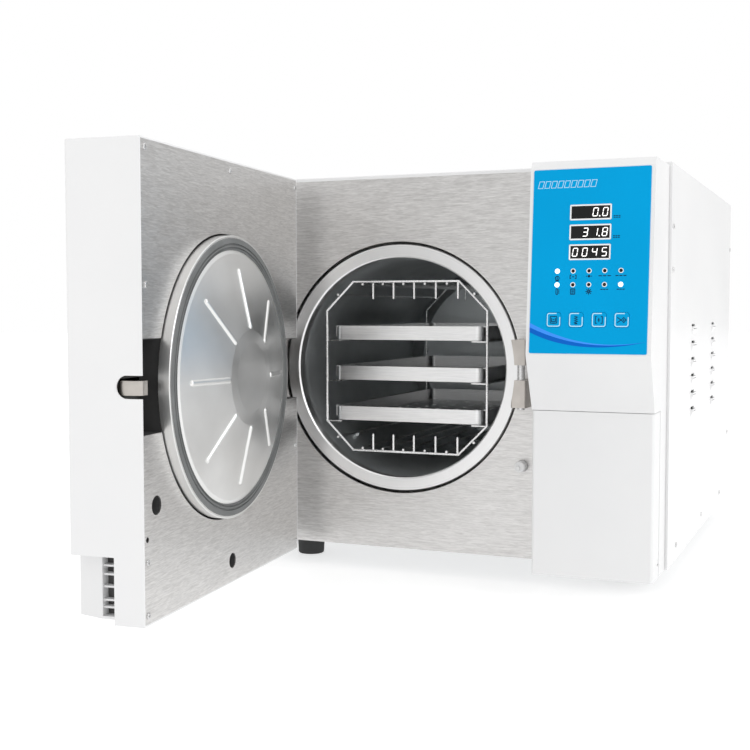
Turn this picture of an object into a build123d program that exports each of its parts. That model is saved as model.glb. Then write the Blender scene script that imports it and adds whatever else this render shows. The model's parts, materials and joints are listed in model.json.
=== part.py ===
from build123d import *
import math
import os

# Benchtop steam autoclave, millimetres. +X is to the right, +Y to the back, +Z up.
# The origin is on the floor under the middle of the cabinet.

# cabinet
CABINET_WIDTH = 494.0
CABINET_DEPTH = 545.0
CABINET_TOP = 446.0
CABINET_BOTTOM = 27.7
SHEET = 1.5
HEM = 3.5
SCREW_HEAD_RADIUS = 2.8
LEFT, RIGHT = -CABINET_WIDTH / 2, CABINET_WIDTH / 2
FRONT, REAR = -CABINET_DEPTH / 2, CABINET_DEPTH / 2
PLATE_TOP = 442.1
FOOT_X, FOOT_Y = 190.7, 208.5
FOOT_RADIUS = 17.0
LOUVRE_COLUMNS = (-102.5, 80.5)
LOUVRE_ROWS, LOUVRE_TOP, LOUVRE_PITCH = 6, 277.0, 19.0
LOUVRE_LENGTH, LOUVRE_DEPTH, LOUVRE_HEIGHT = 26.0, 3.2, 9.0

# pressure chamber
CHAMBER_X, CHAMBER_Z = -51.0, 231.0
CHAMBER_RADIUS = 123.5
CHAMBER_WALL = 3.0
CHAMBER_LENGTH = 379.5
FLANGE_FACE = FRONT + 1.5
FLANGE_RADIUS = 139.4
FLANGE_THICKNESS = 14.0
PLATE_HOLE_RADIUS = 140.9
LAGGING_RADIUS = 147.0

# door: u runs from its hinge edge, t from its inner face outwards, z up
HINGE_X, HINGE_Y = -214.84, FRONT - 68.25
DOOR_LEFT = -245.0
DOOR_INNER = FRONT - 9.5
DOOR_WIDTH = 360.5
DOOR_THICKNESS = 72.1
DOOR_BOTTOM, DOOR_TOP = 26.5, 440.8
DOOR_SKIN = 1.5
DOOR_LINER = 1.2
OPEN_ANGLE = 85.0
HINGE_U = HINGE_X - DOOR_LEFT
HINGE_T = DOOR_INNER - HINGE_Y
DISC_U = CHAMBER_X - DOOR_LEFT
DISC_RADIUS = 136.4
DISC_HOLE_RADIUS = 138.2
HINGE_EDGE_ROUND = 7.0
SEAL_INNER, SEAL_OUTER = 122.5, 134.2
RIB_RADIUS = 3.2
RIB_REACH = (49.0, 102.0)

# hinge
PIN_RADIUS = 4.0
EYE_RADIUS = 8.0
LUG_INNER, LUG_OUTER = 10.0, 31.0
HINGE_NOTCH_U = 42.0
HINGE_NOTCH_HALF = 33.5

# latch
LATCH_PIN_X, LATCH_PIN_Y = 96.5, DOOR_INNER - 12.0
LATCH_PIN_RADIUS = 4.0
CLEVIS_LEFT, CLEVIS_RIGHT = 87.6, 104.0
SEAL_SWING_RADIUS = 142.6
LATCH_OPENING_U = 324.0
HOOK_PIVOT_U, HOOK_PIVOT_T = 338.0, 44.0
HOOK_LOW, HOOK_HIGH = CHAMBER_Z - 7.2, CHAMBER_Z + 5.2

# pull grip in the lower free corner of the door
GRIP_TOP = 85.0
GRIP_U = 322.0
GRIP_T = 28.7
GRIP_RIBS = (75.4, 67.8, 57.0, 45.3, 39.0)
GRIP_SCREWS = (70.8, 48.4)

# control housing on the right
HOUSING_LEFT, HOUSING_RIGHT = 122.0, 244.05
HOUSING_WALL = 3.0
HOUSING_BACK = FRONT - 1.2
FACE_TOP_Y, FACE_TOP_Z = FRONT - 81.9, 434.2
FACE_LOW_Y, FACE_LOW_Z = FRONT - 98.2, 251.4
SEAM_Y, SEAM_Z = FRONT - 72.2, 195.4
SERVICE_BOTTOM = 28.3
SERVICE_BACK = FRONT - 39.2
SERVICE_PIN_X, SERVICE_PIN_Y = 241.3, FRONT - 41.0
SERVICE_PIN_RADIUS = 1.2

# control panel, measured across and down the sloping face
FACE_TILT = math.degrees(math.atan2(FACE_TOP_Y - FACE_LOW_Y, FACE_TOP_Z - FACE_LOW_Z))
LABEL_THICKNESS = 0.5
DISPLAY_SIZE = (40.6, 15.2)
DISPLAY_X = 60.9
DISPLAY_TOPS = (36.3, 55.7, 75.1)
LAMP_XS = (29.8, 45.4, 61.0, 76.2, 91.8)
LAMP_ROWS = (101.0, 114.4)
LAMP_RADIUS = 1.7
KEY_SIZE = 14.0
KEY_LEFTS = (20.4, 42.5, 64.8, 86.7)
KEY_TOP = 141.6

# tray rack and trays
WIRE = 1.4
RACK_FRONT, RACK_REAR = FRONT + 20.0, 82.5
RACK_HALF = 97.0
RACK_CUT = 33.0
RAIL_REACH = 18.0
TRAY_HALF = 88.5
TRAY_FRONT, TRAY_REAR = FRONT + 26.8, 78.0
TRAY_DEPTH = 16.0
TRAY_TOPS = (277.5, 231.0, 184.0)
LIP_DROP = 12.5
PRONG_XS = (-39.0, -14.0, 11.0, 37.0, 63.0)
PRONG_LENGTH = 20.0
RUNNER_SHIFT = 12.5
RACK_FOOT_RADIUS = 2.6

# fan, right-hand compartment and rear services
FAN_X, FAN_Z = 100.0, 275.0
FAN_SIZE = 120.0
FAN_DEPTH = 38.0
INLET_X, INLET_Z = 190.0, 90.0
PLUNGER_X, PLUNGER_Z = 92.2, 128.0
PLUNGER_RADIUS = 6.0
DRAIN_X, DRAIN_Z = 183.0, 80.0
FILTER_Z = 145.0
SPIGOT_XS = (-205.0, -165.0)
SPIGOT_Z = 62.0
SPIGOT_RADIUS = 4.0
LID_X, LID_Y = 170.0, 75.0
TANK_X, TANK_Y, TANK_BOTTOM = (105.0, 235.0), (-40.0, 190.0), 300.0
TANK_WALL = 2.5
STAND_FRONTS, STAND_DEPTH, STAND_BAR = (-20.0, 160.0), 20.0, 3.0
GENERATOR_X, GENERATOR_Y = -190.0, 190.0

X_AXIS, Y_AXIS, Z_AXIS = (1, 0, 0), (0, 1, 0), (0, 0, 1)


def block(x, y, z):
    """A box from three (low, high) pairs."""
    size = [high - low for low, high in (x, y, z)]
    return Pos(x[0], y[0], z[0]) * Box(*size, align=(Align.MIN,) * 3)


def rod(start, axis, radius, length):
    """A cylinder that starts at a point and runs along an axis."""
    return Plane(origin=start, z_dir=axis) * Cylinder(
        radius, length, align=(Align.CENTER, Align.CENTER, Align.MIN)
    )


def pipe(start, axis, outer, inner, length):
    return rod(start, axis, outer, length) - rod(start, axis, inner, length)


def wire(start, end, radius=WIRE):
    direction = Vector(*end) - Vector(*start)
    return rod(start, direction, radius, direction.length)


def turned(points, x, z):
    """A ring or disc from a profile of (radius, y) points, round a Y axis through (x, z)."""
    plane = Plane(origin=(x, 0, z), x_dir=X_AXIS, z_dir=Z_AXIS)
    profile = plane * make_face(Polyline(*points, close=True))
    return revolve(profile, Axis((x, 0, z), Y_AXIS), 360)


def plan_prism(points, low, high):
    """A prism standing on Z from a plan outline of (x, y) points."""
    outline = Plane.XY.offset(low) * make_face(Polyline(*points, close=True))
    return extrude(outline, high - low)


def screw(head, axis):
    """A pan-head screw: head is the seat of the head, and axis points out of the work."""
    on_seat = (Align.CENTER, Align.CENTER, Align.MIN)
    crown = Cylinder(SCREW_HEAD_RADIUS, 1.3, align=on_seat)
    crown = fillet(crown.edges().group_by(Axis.Z)[-1], 0.7)
    crown -= Pos(0, 0, 1.3) * (Box(3.4, 0.7, 1.2) + Box(0.7, 3.4, 1.2))
    shank = Pos(0, 0, -7) * Cylinder(1.5, 7, align=on_seat)
    return Plane(origin=head, z_dir=axis) * (crown + shank)


def screw_hole(head, axis):
    return Plane(origin=head, z_dir=axis) * Cylinder(1.55, 20)


def on_face(x, down, height=0.0):
    """A point on the control panel's face, height mm proud of it."""
    tilt = math.radians(FACE_TILT)
    y = FACE_TOP_Y - down * math.sin(tilt) - height * math.cos(tilt)
    z = FACE_TOP_Z - down * math.cos(tilt) + height * math.sin(tilt)
    return (HOUSING_LEFT + x, y, z)


def face_plate(left, top, width, height, low, high, radius=0.0):
    """A plate on the control panel's face between two heights above it."""
    tilt = math.radians(FACE_TILT)
    plane = Plane(
        origin=on_face(left + width / 2, top + height / 2, low),
        x_dir=X_AXIS,
        z_dir=(0, -math.cos(tilt), math.sin(tilt)),
    )
    outline = RectangleRounded(width, height, radius) if radius else Rectangle(width, height)
    return extrude(plane * outline, high - low)


def face_rod(x, down, low, high, radius):
    tilt = math.radians(FACE_TILT)
    return rod(on_face(x, down, low), (0, -math.cos(tilt), math.sin(tilt)), radius, high - low)


def in_door(u, t, z):
    """The place of a door point with the door closed."""
    return (DOOR_LEFT + u, DOOR_INNER - t, z)


def door_block(u, t, z):
    return block(
        (DOOR_LEFT + u[0], DOOR_LEFT + u[1]), (DOOR_INNER - t[1], DOOR_INNER - t[0]), z
    )


def opened(shape):
    """Swings a shape of the closed door to its open rest place."""
    hinge = Pos(HINGE_X, HINGE_Y, 0)
    return hinge * Rot(0, 0, -OPEN_ANGLE) * hinge.inverse() * shape


# ---------------------------------------------------------------- cabinet shell

def front_screws():
    return [
        (LEFT + 12, FRONT, 60.0),
        (LEFT + 12, FRONT, 410.0),
    ]


def side_screws():
    low_row = [(y, 44.0) for y in (-217.5, -10.5, 178.5)]
    front_pair = [(FRONT + 9, z) for z in (337.0, 381.0)]
    rear_pair = [(REAR - 9, z) for z in (120.0, 381.0)]
    return low_row + front_pair + rear_pair


def rear_screws():
    return [(x, z) for x in (-232.0, 0.0, 232.0) for z in (40.0, 430.0)]


def cabinet_screw_places():
    places = [((x, y, z), (0, -1, 0)) for x, y, z in front_screws()]
    places += [((RIGHT, y, z), (1, 0, 0)) for y, z in side_screws()]
    places += [((LEFT, y, z), (-1, 0, 0)) for y, z in side_screws()]
    places += [((x, REAR, z), (0, 1, 0)) for x, z in rear_screws()]
    return places


def drilled(panel):
    """A panel with the clearance holes of the cabinet screws that pass through it."""
    for head, axis in cabinet_screw_places():
        panel = panel - screw_hole(head, axis)
    return panel


def tank_stand():
    """The legs and crossbars of two frames that carry the water tank above the base."""
    floor, under = CABINET_BOTTOM + SHEET, TANK_BOTTOM - STAND_BAR
    left, right = TANK_X[0] - 1, TANK_X[1] - STAND_BAR
    bars = []
    for front in STAND_FRONTS:
        y = (front, front + STAND_DEPTH)
        bars.append(block((left, left + STAND_BAR), y, (floor, under)))
        bars.append(block((right, right + STAND_BAR), y, (floor, under)))
        bars.append(block((left, right + STAND_BAR), y, (under, TANK_BOTTOM)))
    return bars


def base_tray():
    floor = block((LEFT + SHEET, RIGHT - SHEET), (FRONT + SHEET, REAR - SHEET),
                  (CABINET_BOTTOM, CABINET_BOTTOM + SHEET))
    for side in (LEFT + SHEET, RIGHT - 2 * SHEET):
        floor += block((side, side + SHEET), (FRONT + 20, REAR - 20),
                       (CABINET_BOTTOM, CABINET_BOTTOM + 25))
    for x in (-200, -160, 160, 200):
        for y in range(-60, 61, 20):
            floor -= rod((x, y, CABINET_BOTTOM - 1), Z_AXIS, 4, 4)
    return [drilled(floor)] + tank_stand()


def front_plate():
    plate = block((LEFT + HEM, RIGHT - HEM), (FRONT, FRONT + SHEET), (CABINET_BOTTOM, PLATE_TOP))
    plate -= rod((CHAMBER_X, FRONT - 1, CHAMBER_Z), Y_AXIS, PLATE_HOLE_RADIUS, 5)
    plate -= rod((PLUNGER_X, FRONT - 1, PLUNGER_Z), Y_AXIS, PLUNGER_RADIUS + 0.4, 5)
    plate -= block((150, 215), (FRONT - 1, FRONT + 3), (330, 400))
    for z in (DRAIN_Z, FILTER_Z):
        plate -= rod((DRAIN_X, FRONT - 1, z), Y_AXIS, 9, 5)
    return drilled(plate)


def top_cover():
    cover = block((LEFT, RIGHT), (FRONT, REAR), (CABINET_TOP - SHEET, CABINET_TOP))
    cover = fillet(cover.edges().filter_by(GeomType.LINE).group_by(Axis.Z)[-1], 1.2)
    for y in (FRONT, REAR - SHEET):
        cover += block((LEFT + HEM, RIGHT - HEM), (y, y + SHEET), (PLATE_TOP, CABINET_TOP - SHEET))
    cover -= block((LID_X - 33, LID_X + 33), (LID_Y - 38, LID_Y + 38), (CABINET_TOP - 5, CABINET_TOP + 5))
    return cover


def side_panel(outer, inward):
    """A side wall with hems folded in at its front and back edges."""
    skin = sorted((outer, outer + inward * SHEET))
    hem = sorted((outer, outer + inward * HEM))
    panel = block(skin, (FRONT, REAR), (CABINET_BOTTOM, CABINET_TOP - SHEET))
    for y in (FRONT, REAR - SHEET):
        panel += block(hem, (y, y + SHEET), (CABINET_BOTTOM, CABINET_TOP - SHEET))
    return drilled(panel)


def louvre(side, outward, y, z):
    """A pressed hood, open along its top edge, and the slit behind and above it."""
    half = LOUVRE_LENGTH / 2
    hood = Plane(origin=(side, y - half, z), x_dir=(outward, 0, 0), z_dir=(0, -outward, 0))
    outline = make_face(Polyline((0, 0), (LOUVRE_DEPTH, 0), (0, -LOUVRE_HEIGHT), close=True))
    wedge = extrude(hood * outline, -LOUVRE_LENGTH * outward)
    inside = sorted((side - outward * 3, side + outward * (LOUVRE_DEPTH - 0.7)))
    slit = block(inside, (y - half + 0.7, y + half - 0.7), (z - 3.0, z + 2.4))
    return wedge, slit


def louvred(panel, side, outward):
    for y in LOUVRE_COLUMNS:
        for row in range(LOUVRE_ROWS):
            hood, slit = louvre(side, outward, y, LOUVRE_TOP - LOUVRE_PITCH * row)
            panel = panel + hood - slit
    return panel


def left_side_panel():
    return louvred(side_panel(LEFT, 1), LEFT, -1)


def right_side_panel():
    return louvred(side_panel(RIGHT, -1), RIGHT, 1)


def rear_panel():
    panel = block((LEFT + HEM, RIGHT - HEM), (REAR - SHEET, REAR), (CABINET_BOTTOM, PLATE_TOP))
    for step in range(-5, 6):
        half = math.sqrt(54 ** 2 - (step * 9.6) ** 2)
        panel -= block((FAN_X + step * 9.6 - 3, FAN_X + step * 9.6 + 3), (REAR - 4, REAR + 2),
                       (FAN_Z - half, FAN_Z + half))
    panel -= block((INLET_X - 14.2, INLET_X + 14.2), (REAR - 4, REAR + 2),
                   (INLET_Z - 34.2, INLET_Z + 34.2))
    for x in SPIGOT_XS:
        panel -= rod((x, REAR - 4, SPIGOT_Z), Y_AXIS, 5.1, 8)
    for row in range(7):
        panel -= block((-200, -120), (REAR - 4, REAR + 2), (300 + 12 * row, 304 + 12 * row))
    return drilled(panel)


def rubber_feet():
    feet = []
    for x in (-FOOT_X, FOOT_X):
        for y in (-FOOT_Y, FOOT_Y):
            foot = Pos(x, y, 0) * Cone(FOOT_RADIUS - 1.5, FOOT_RADIUS, CABINET_BOTTOM,
                                       align=(Align.CENTER, Align.CENTER, Align.MIN))
            feet.append(fillet(foot.edges().group_by(Axis.Z)[0], 2.0))
    return feet


def cabinet_screws():
    return [screw(head, axis) for head, axis in cabinet_screw_places()]


# ---------------------------------------------------------------- chamber and steam circuit

def chamber_vessel():
    front = FLANGE_FACE + FLANGE_THICKNESS
    rear = FLANGE_FACE + CHAMBER_LENGTH
    inner, outer = CHAMBER_RADIUS, CHAMBER_RADIUS + CHAMBER_WALL
    crown = 14.0
    profile = [
        (inner, front), (outer, front), (outer, rear - crown + CHAMBER_WALL),
        (outer - crown, rear + CHAMBER_WALL), (0, rear + CHAMBER_WALL),
        (0, rear), (inner - crown + 1, rear), (inner, rear - crown + 1),
    ]
    return turned(profile, CHAMBER_X, CHAMBER_Z)


def chamber_flange():
    back = FLANGE_FACE + FLANGE_THICKNESS
    inner, outer = CHAMBER_RADIUS, FLANGE_RADIUS
    profile = [
        (inner + 1.5, FLANGE_FACE), (outer - 2.0, FLANGE_FACE), (outer, FLANGE_FACE + 2.0),
        (outer, back), (inner, back), (inner, FLANGE_FACE + 1.5),
    ]
    return turned(profile, CHAMBER_X, CHAMBER_Z)


def chamber_lagging():
    start = FLANGE_FACE + FLANGE_THICKNESS + 12
    return pipe((CHAMBER_X, start, CHAMBER_Z), Y_AXIS, LAGGING_RADIUS,
                CHAMBER_RADIUS + CHAMBER_WALL, 335)


def chamber_saddles():
    saddles = []
    floor = CABINET_BOTTOM + SHEET
    for y in (-160.0, 40.0):
        saddle = block((CHAMBER_X - 95, CHAMBER_X + 95), (y, y + 4), (floor, CHAMBER_Z - 90))
        saddle += block((CHAMBER_X - 95, CHAMBER_X + 95), (y, y + 25), (floor, floor + 3))
        saddle -= rod((CHAMBER_X, y - 1, CHAMBER_Z), Y_AXIS, LAGGING_RADIUS, 30)
        saddles.append(saddle)
    return saddles


def steam_generator():
    floor = CABINET_BOTTOM + SHEET
    body = rod((GENERATOR_X, GENERATOR_Y, floor), Z_AXIS, 42, 165)
    body = fillet(body.edges().group_by(Axis.Z)[-1], 8)
    body += rod((GENERATOR_X, GENERATOR_Y, floor + 20), Z_AXIS, 46, 6)
    body += rod((GENERATOR_X, GENERATOR_Y, floor + 26), Z_AXIS, 46, 6)
    return body


def safety_valve():
    top = CABINET_BOTTOM + SHEET + 165
    valve = rod((GENERATOR_X, GENERATOR_Y, top), Z_AXIS, 7, 18)
    valve += extrude(Plane.XY.offset(top + 6) * Pos(GENERATOR_X, GENERATOR_Y) * RegularPolygon(11, 6), 8)
    valve += rod((GENERATOR_X, GENERATOR_Y, top + 18), Z_AXIS, 9.5, 22)
    valve += rod((GENERATOR_X, GENERATOR_Y, top + 29), X_AXIS, 4.5, 18)
    ring = Pos(GENERATOR_X, GENERATOR_Y, top + 47) * Rot(90, 0, 0) * Torus(8, 1.2)
    return valve + ring


def water_tank():
    low, high, wall = TANK_BOTTOM, 436.0, TANK_WALL
    tank = block(TANK_X, TANK_Y, (low, high))
    tank = fillet(tank.edges().filter_by(Axis.Z), 10)
    tank += block((LID_X - 31, LID_X + 31), (LID_Y - 36, LID_Y + 36), (high, CABINET_TOP - SHEET - 0.5))
    inside = [(start + wall, end - wall) for start, end in (TANK_X, TANK_Y, (low, high))]
    hollow = block(*inside)
    tank -= fillet(hollow.edges().filter_by(Axis.Z), 10 - wall)
    tank -= block((LID_X - 28, LID_X + 28), (LID_Y - 33, LID_Y + 33), (high - 5, CABINET_TOP + 1))
    return tank


def vacuum_pump():
    floor = CABINET_BOTTOM + SHEET
    foot = block((122, 212), (70, 150), (floor, floor + 4))
    head = block((137, 197), (75, 105), (floor + 4, floor + 80))
    head = fillet(head.edges().filter_by(Axis.Y), 6)
    motor = rod((167, 105, floor + 38), Y_AXIS, 29, 45)
    cradle = block((152, 182), (110, 145), (floor + 4, floor + 18))
    ports = rod((150, 90, floor + 80), Z_AXIS, 4, 12) + rod((184, 90, floor + 80), Z_AXIS, 4, 12)
    return foot + head + motor + cradle + ports


def condenser_coil():
    """Aluminium fins on a serpentine of copper tube, in front of the fan."""
    back = REAR - SHEET - FAN_DEPTH - 1
    half = 55.0
    coil = None
    for step in range(14):
        x = FAN_X - half + 1 + step * (2 * half - 3) / 13
        fin = block((x, x + 1), (back - 24, back - 2), (FAN_Z - half, FAN_Z + half))
        coil = fin if coil is None else coil + fin
    for row in range(5):
        z = FAN_Z - 44 + 22 * row
        coil += rod((FAN_X - half - 4, back - 13, z), X_AXIS, 4, 2 * half + 8)
    for row in range(4):
        x = FAN_X + (half + 4) * (1 if row % 2 == 0 else -1)
        z = FAN_Z - 44 + 22 * row
        coil += block(sorted((x, x + (4 if row % 2 == 0 else -4))), (back - 17, back - 9), (z - 4, z + 26))
    for x in (FAN_X - half - 1, FAN_X + half - 1):
        coil += block((x, x + 2), (back - 26, back), (FAN_Z - half, FAN_Z + half))
    return coil


def fan_frame():
    back = REAR - SHEET
    half = FAN_SIZE / 2
    frame = block((FAN_X - half, FAN_X + half), (back - FAN_DEPTH, back), (FAN_Z - half, FAN_Z + half))
    frame = fillet(frame.edges().filter_by(Axis.Y), 8)
    frame -= rod((FAN_X, back - FAN_DEPTH - 1, FAN_Z), Y_AXIS, 57, FAN_DEPTH + 2)
    frame += rod((FAN_X, back - FAN_DEPTH, FAN_Z), Y_AXIS, 18, 4)
    for angle in (45, 135, 225, 315):
        direction = (math.cos(math.radians(angle)), 0, math.sin(math.radians(angle)))
        frame += rod((FAN_X, back - FAN_DEPTH + 2, FAN_Z), direction, 1.9, 60)
    frame += rod((FAN_X, back - FAN_DEPTH + 4, FAN_Z), Y_AXIS, 3, 12)
    for x in (-52.5, 52.5):
        for z in (-52.5, 52.5):
            frame -= rod((FAN_X + x, back - FAN_DEPTH - 1, FAN_Z + z), Y_AXIS, 2.2, FAN_DEPTH + 2)
    return frame


def cooling_fan_rotor():
    front = REAR - SHEET - FAN_DEPTH + 5.5
    rotor = rod((FAN_X, front, FAN_Z), Y_AXIS, 20, 27)
    for blade in range(7):
        vane = Pos(FAN_X, front + 13, FAN_Z) * Rot(0, blade * 360 / 7, 0) * Pos(37, 0, 0)
        rotor += vane * Rot(32, 0, 0) * Box(36, 26, 1.8)
    return rotor - rod((FAN_X, front - 1, FAN_Z), Y_AXIS, 3.05, 12.5)


def solenoid_valves():
    floor = CABINET_BOTTOM + SHEET
    valves = []
    for x in (-90.0, -40.0, 10.0):
        body = block((x - 14, x + 14), (186, 214), (floor, floor + 22))
        coil = rod((x, 200, floor + 22), Z_AXIS, 13, 26)
        nut = extrude(Plane.XY.offset(floor + 48) * Pos(x, 200) * RegularPolygon(7, 6), 5)
        valves.append(body + coil + nut)
    return valves


def copper_pipes():
    rear = FLANGE_FACE + CHAMBER_LENGTH + CHAMBER_WALL
    low = CABINET_BOTTOM + SHEET + 53.2
    start_x = GENERATOR_X + 42.6
    routes = [
        [(-51, rear, 170), (-51, GENERATOR_Y, 170), (start_x, GENERATOR_Y, 170)],
        [(10, rear, 150), (10, 200, 150), (10, 200, low)],
        [(-90, rear, 215), (-90, 240, 215), (-90, 240, 120), (-90, 200, 120), (-90, 200, low)],
    ]
    pipes = []
    for route in routes:
        path = FilletPolyline(*route, radius=14)
        section = Plane(origin=path @ 0, z_dir=path % 0) * Circle(4)
        pipes.append(sweep(section, path=path))
    return pipes


def main_board():
    board = block((236, 237.6), (-200, -60), (70, 230))
    for y in (-190, -70):
        for z in (80, 220):
            board += rod((237.6, y, z), X_AXIS, 3, RIGHT - SHEET - 237.6)
    for y, z, dy, dz, dx in ((-180, 100, 30, 40, 18), (-130, 150, 34, 22, 24), (-110, 90, 24, 24, 14),
                             (-185, 170, 26, 30, 12), (-90, 180, 18, 36, 20)):
        board += block((236 - dx, 236), (y, y + dy), (z, z + dz))
    return board


def power_inlet():
    """Mains socket, fuse drawer and switch opening in one snap-in module."""
    module = block((INLET_X - 14, INLET_X + 14), (REAR - 24, REAR), (INLET_Z - 34, INLET_Z + 34))
    module += block((INLET_X - 17, INLET_X + 17), (REAR, REAR + 2.5), (INLET_Z - 37, INLET_Z + 37))
    socket = block((INLET_X - 12, INLET_X + 12), (REAR - 16, REAR + 3), (INLET_Z - 30, INLET_Z - 13))
    module -= fillet(socket.edges().filter_by(Axis.Y), 3)
    for x, z in ((0, -18.5), (-7, -24.5), (7, -24.5)):
        module += block((INLET_X + x - 1, INLET_X + x + 1), (REAR - 16, REAR - 4),
                        (INLET_Z + z - 2, INLET_Z + z + 2))
    module -= block((INLET_X - 11, INLET_X + 11), (REAR + 1.5, REAR + 3), (INLET_Z - 8, INLET_Z + 4))
    return module - block((INLET_X - 7, INLET_X + 7), (REAR - 14, REAR + 3), (INLET_Z + 8, INLET_Z + 31))


def power_switch_rocker():
    """A rocker that rests with its lower half pressed in."""
    pivot = Pos(INLET_X, REAR - 3, INLET_Z + 19.5)
    plane = Plane(origin=(INLET_X - 6.6, REAR - 3, INLET_Z + 19.5), x_dir=Y_AXIS, z_dir=X_AXIS)
    outline = make_face(Polyline((-5, -4), (3.2, -10), (2.2, 0), (3.2, 10), (-5, 4), close=True))
    rocker = extrude(plane * outline, 13.2)
    return pivot * Rot(7, 0, 0) * pivot.inverse() * rocker


def drain_fittings():
    spigots = []
    for x in SPIGOT_XS:
        spigot = rod((x, REAR - 12, SPIGOT_Z), Y_AXIS, 5, 12)
        spigot += extrude(Plane(origin=(x, REAR, SPIGOT_Z), z_dir=Y_AXIS) * RegularPolygon(8, 6), 5)
        spigot += rod((x, REAR + 5, SPIGOT_Z), Y_AXIS, SPIGOT_RADIUS, 14)
        spigots.append(spigot - rod((x, REAR - 13, SPIGOT_Z), Y_AXIS, 2.5, 33))
    return spigots


# ---------------------------------------------------------------- hinge and latch on the cabinet

def hinge_bracket():
    bracket = block((HINGE_X - 14, HINGE_X + 14), (FRONT - 3, FRONT), (CHAMBER_Z - 33, CHAMBER_Z + 33))
    for low, high in ((-LUG_OUTER, -LUG_INNER), (LUG_INNER, LUG_OUTER)):
        z = (CHAMBER_Z + low, CHAMBER_Z + high)
        bracket += block((HINGE_X - 5.5, HINGE_X + 5.5), (HINGE_Y, FRONT - 3), z)
        bracket += rod((HINGE_X, HINGE_Y, z[0]), Z_AXIS, EYE_RADIUS, high - low)
    return bracket - rod((HINGE_X, HINGE_Y, CHAMBER_Z - 40), Z_AXIS, PIN_RADIUS, 80)


def hinge_pin():
    pin = rod((HINGE_X, HINGE_Y, CHAMBER_Z - LUG_OUTER - 2), Z_AXIS, PIN_RADIUS, 2 * LUG_OUTER + 2)
    return pin + rod((HINGE_X, HINGE_Y, CHAMBER_Z + LUG_OUTER), Z_AXIS, 6, 2)


def latch_clevis():
    """Two blocks on the front plate that hold the latch pin, cut back to let the seal swing by."""
    blocks = []
    x = (CLEVIS_LEFT, CLEVIS_RIGHT)
    for z in ((CHAMBER_Z + 7, CHAMBER_Z + 33.5), (CHAMBER_Z - 38, CHAMBER_Z - 9)):
        ear = block(x, (LATCH_PIN_Y - 9, FRONT), z)
        ear = fillet(ear.edges().filter_by(Axis.Z).group_by(Axis.Y)[0], 2)
        ear -= rod((CHAMBER_X, FRONT - 40, CHAMBER_Z), Y_AXIS, SEAL_SWING_RADIUS, 50)
        blocks.append(ear - rod((LATCH_PIN_X, LATCH_PIN_Y, z[0] - 1), Z_AXIS, LATCH_PIN_RADIUS, 40))
    return blocks


def latch_pin():
    return rod((LATCH_PIN_X, LATCH_PIN_Y, CHAMBER_Z - 40.3), Z_AXIS, LATCH_PIN_RADIUS, 73.8)


def door_switch_body():
    body = block((PLUNGER_X - 11, PLUNGER_X + 11), (FRONT + SHEET, FRONT + 30),
                 (PLUNGER_Z - 11, PLUNGER_Z + 11))
    body -= rod((PLUNGER_X, FRONT, PLUNGER_Z), Y_AXIS, PLUNGER_RADIUS + 0.1, 24)
    return body


def door_switch_plunger():
    tip = DOOR_INNER - 1.5
    plunger = rod((PLUNGER_X, tip, PLUNGER_Z), Y_AXIS, PLUNGER_RADIUS, FRONT + 18 - tip)
    plunger = fillet(plunger.edges().group_by(Axis.Y)[0], 1.5)
    nub = rod((PLUNGER_X - 1.8, tip - 1.2, PLUNGER_Z - 1.2), Y_AXIS, 2.6, 2)
    return plunger + fillet(nub.edges().group_by(Axis.Y)[0], 0.8)


# ---------------------------------------------------------------- door

def door_outline(inset):
    """The door's plan, inset from its outer faces; the hinge edge is rounded inside."""
    low_u, high_u = inset, DOOR_WIDTH - inset
    face = make_face(Polyline(
        in_door(low_u, inset, 0)[:2], in_door(high_u, inset, 0)[:2],
        in_door(high_u, DOOR_THICKNESS - inset, 0)[:2],
        in_door(low_u, DOOR_THICKNESS - inset, 0)[:2], close=True,
    ))
    corner = face.vertices().sort_by(Axis.X)[:2].sort_by(Axis.Y)[-1]
    return fillet(corner, HINGE_EDGE_ROUND - inset)


def grip_pocket(margin):
    return door_block((GRIP_U - margin, DOOR_WIDTH + 5), (GRIP_T - margin, DOOR_THICKNESS + 5),
                      (DOOR_BOTTOM - 5, GRIP_TOP + margin))


def door_cover():
    outer = extrude(Plane.XY.offset(DOOR_BOTTOM) * door_outline(0), DOOR_TOP - DOOR_BOTTOM)
    front_edges = outer.edges().group_by(Axis.Y)[0]
    outer = fillet(front_edges, 3.0)
    outer -= grip_pocket(0)
    inner = extrude(Plane.XY.offset(DOOR_BOTTOM + DOOR_SKIN) * door_outline(DOOR_SKIN),
                    DOOR_TOP - DOOR_BOTTOM - 2 * DOOR_SKIN)
    cover = outer - (inner - grip_pocket(DOOR_SKIN))
    cover -= door_block((HINGE_EDGE_ROUND, DOOR_WIDTH - DOOR_SKIN), (-1, DOOR_SKIN + 1),
                        (DOOR_BOTTOM + DOOR_SKIN, DOOR_TOP - DOOR_SKIN))
    cover -= door_block((-1, HINGE_NOTCH_U), (-1, DOOR_THICKNESS - DOOR_SKIN),
                        (CHAMBER_Z - HINGE_NOTCH_HALF, CHAMBER_Z + HINGE_NOTCH_HALF))
    slot = door_block((DOOR_WIDTH - 3, DOOR_WIDTH + 1), (-1, 14.7), (CHAMBER_Z - 9.9, CHAMBER_Z + 9.9))
    slot += rod(in_door(DOOR_WIDTH - 3, 14.7, CHAMBER_Z), X_AXIS, 9.9, 4)
    return cover - slot


def door_screw_places():
    return [
        (352.4, 432.6), (181.8, 430.7), (10.9, 430.9), (352.3, 317.3),
        (353.8, 81.2), (353.9, 35.5), (12.1, 144.4), (10.9, 36.0),
    ]


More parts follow.
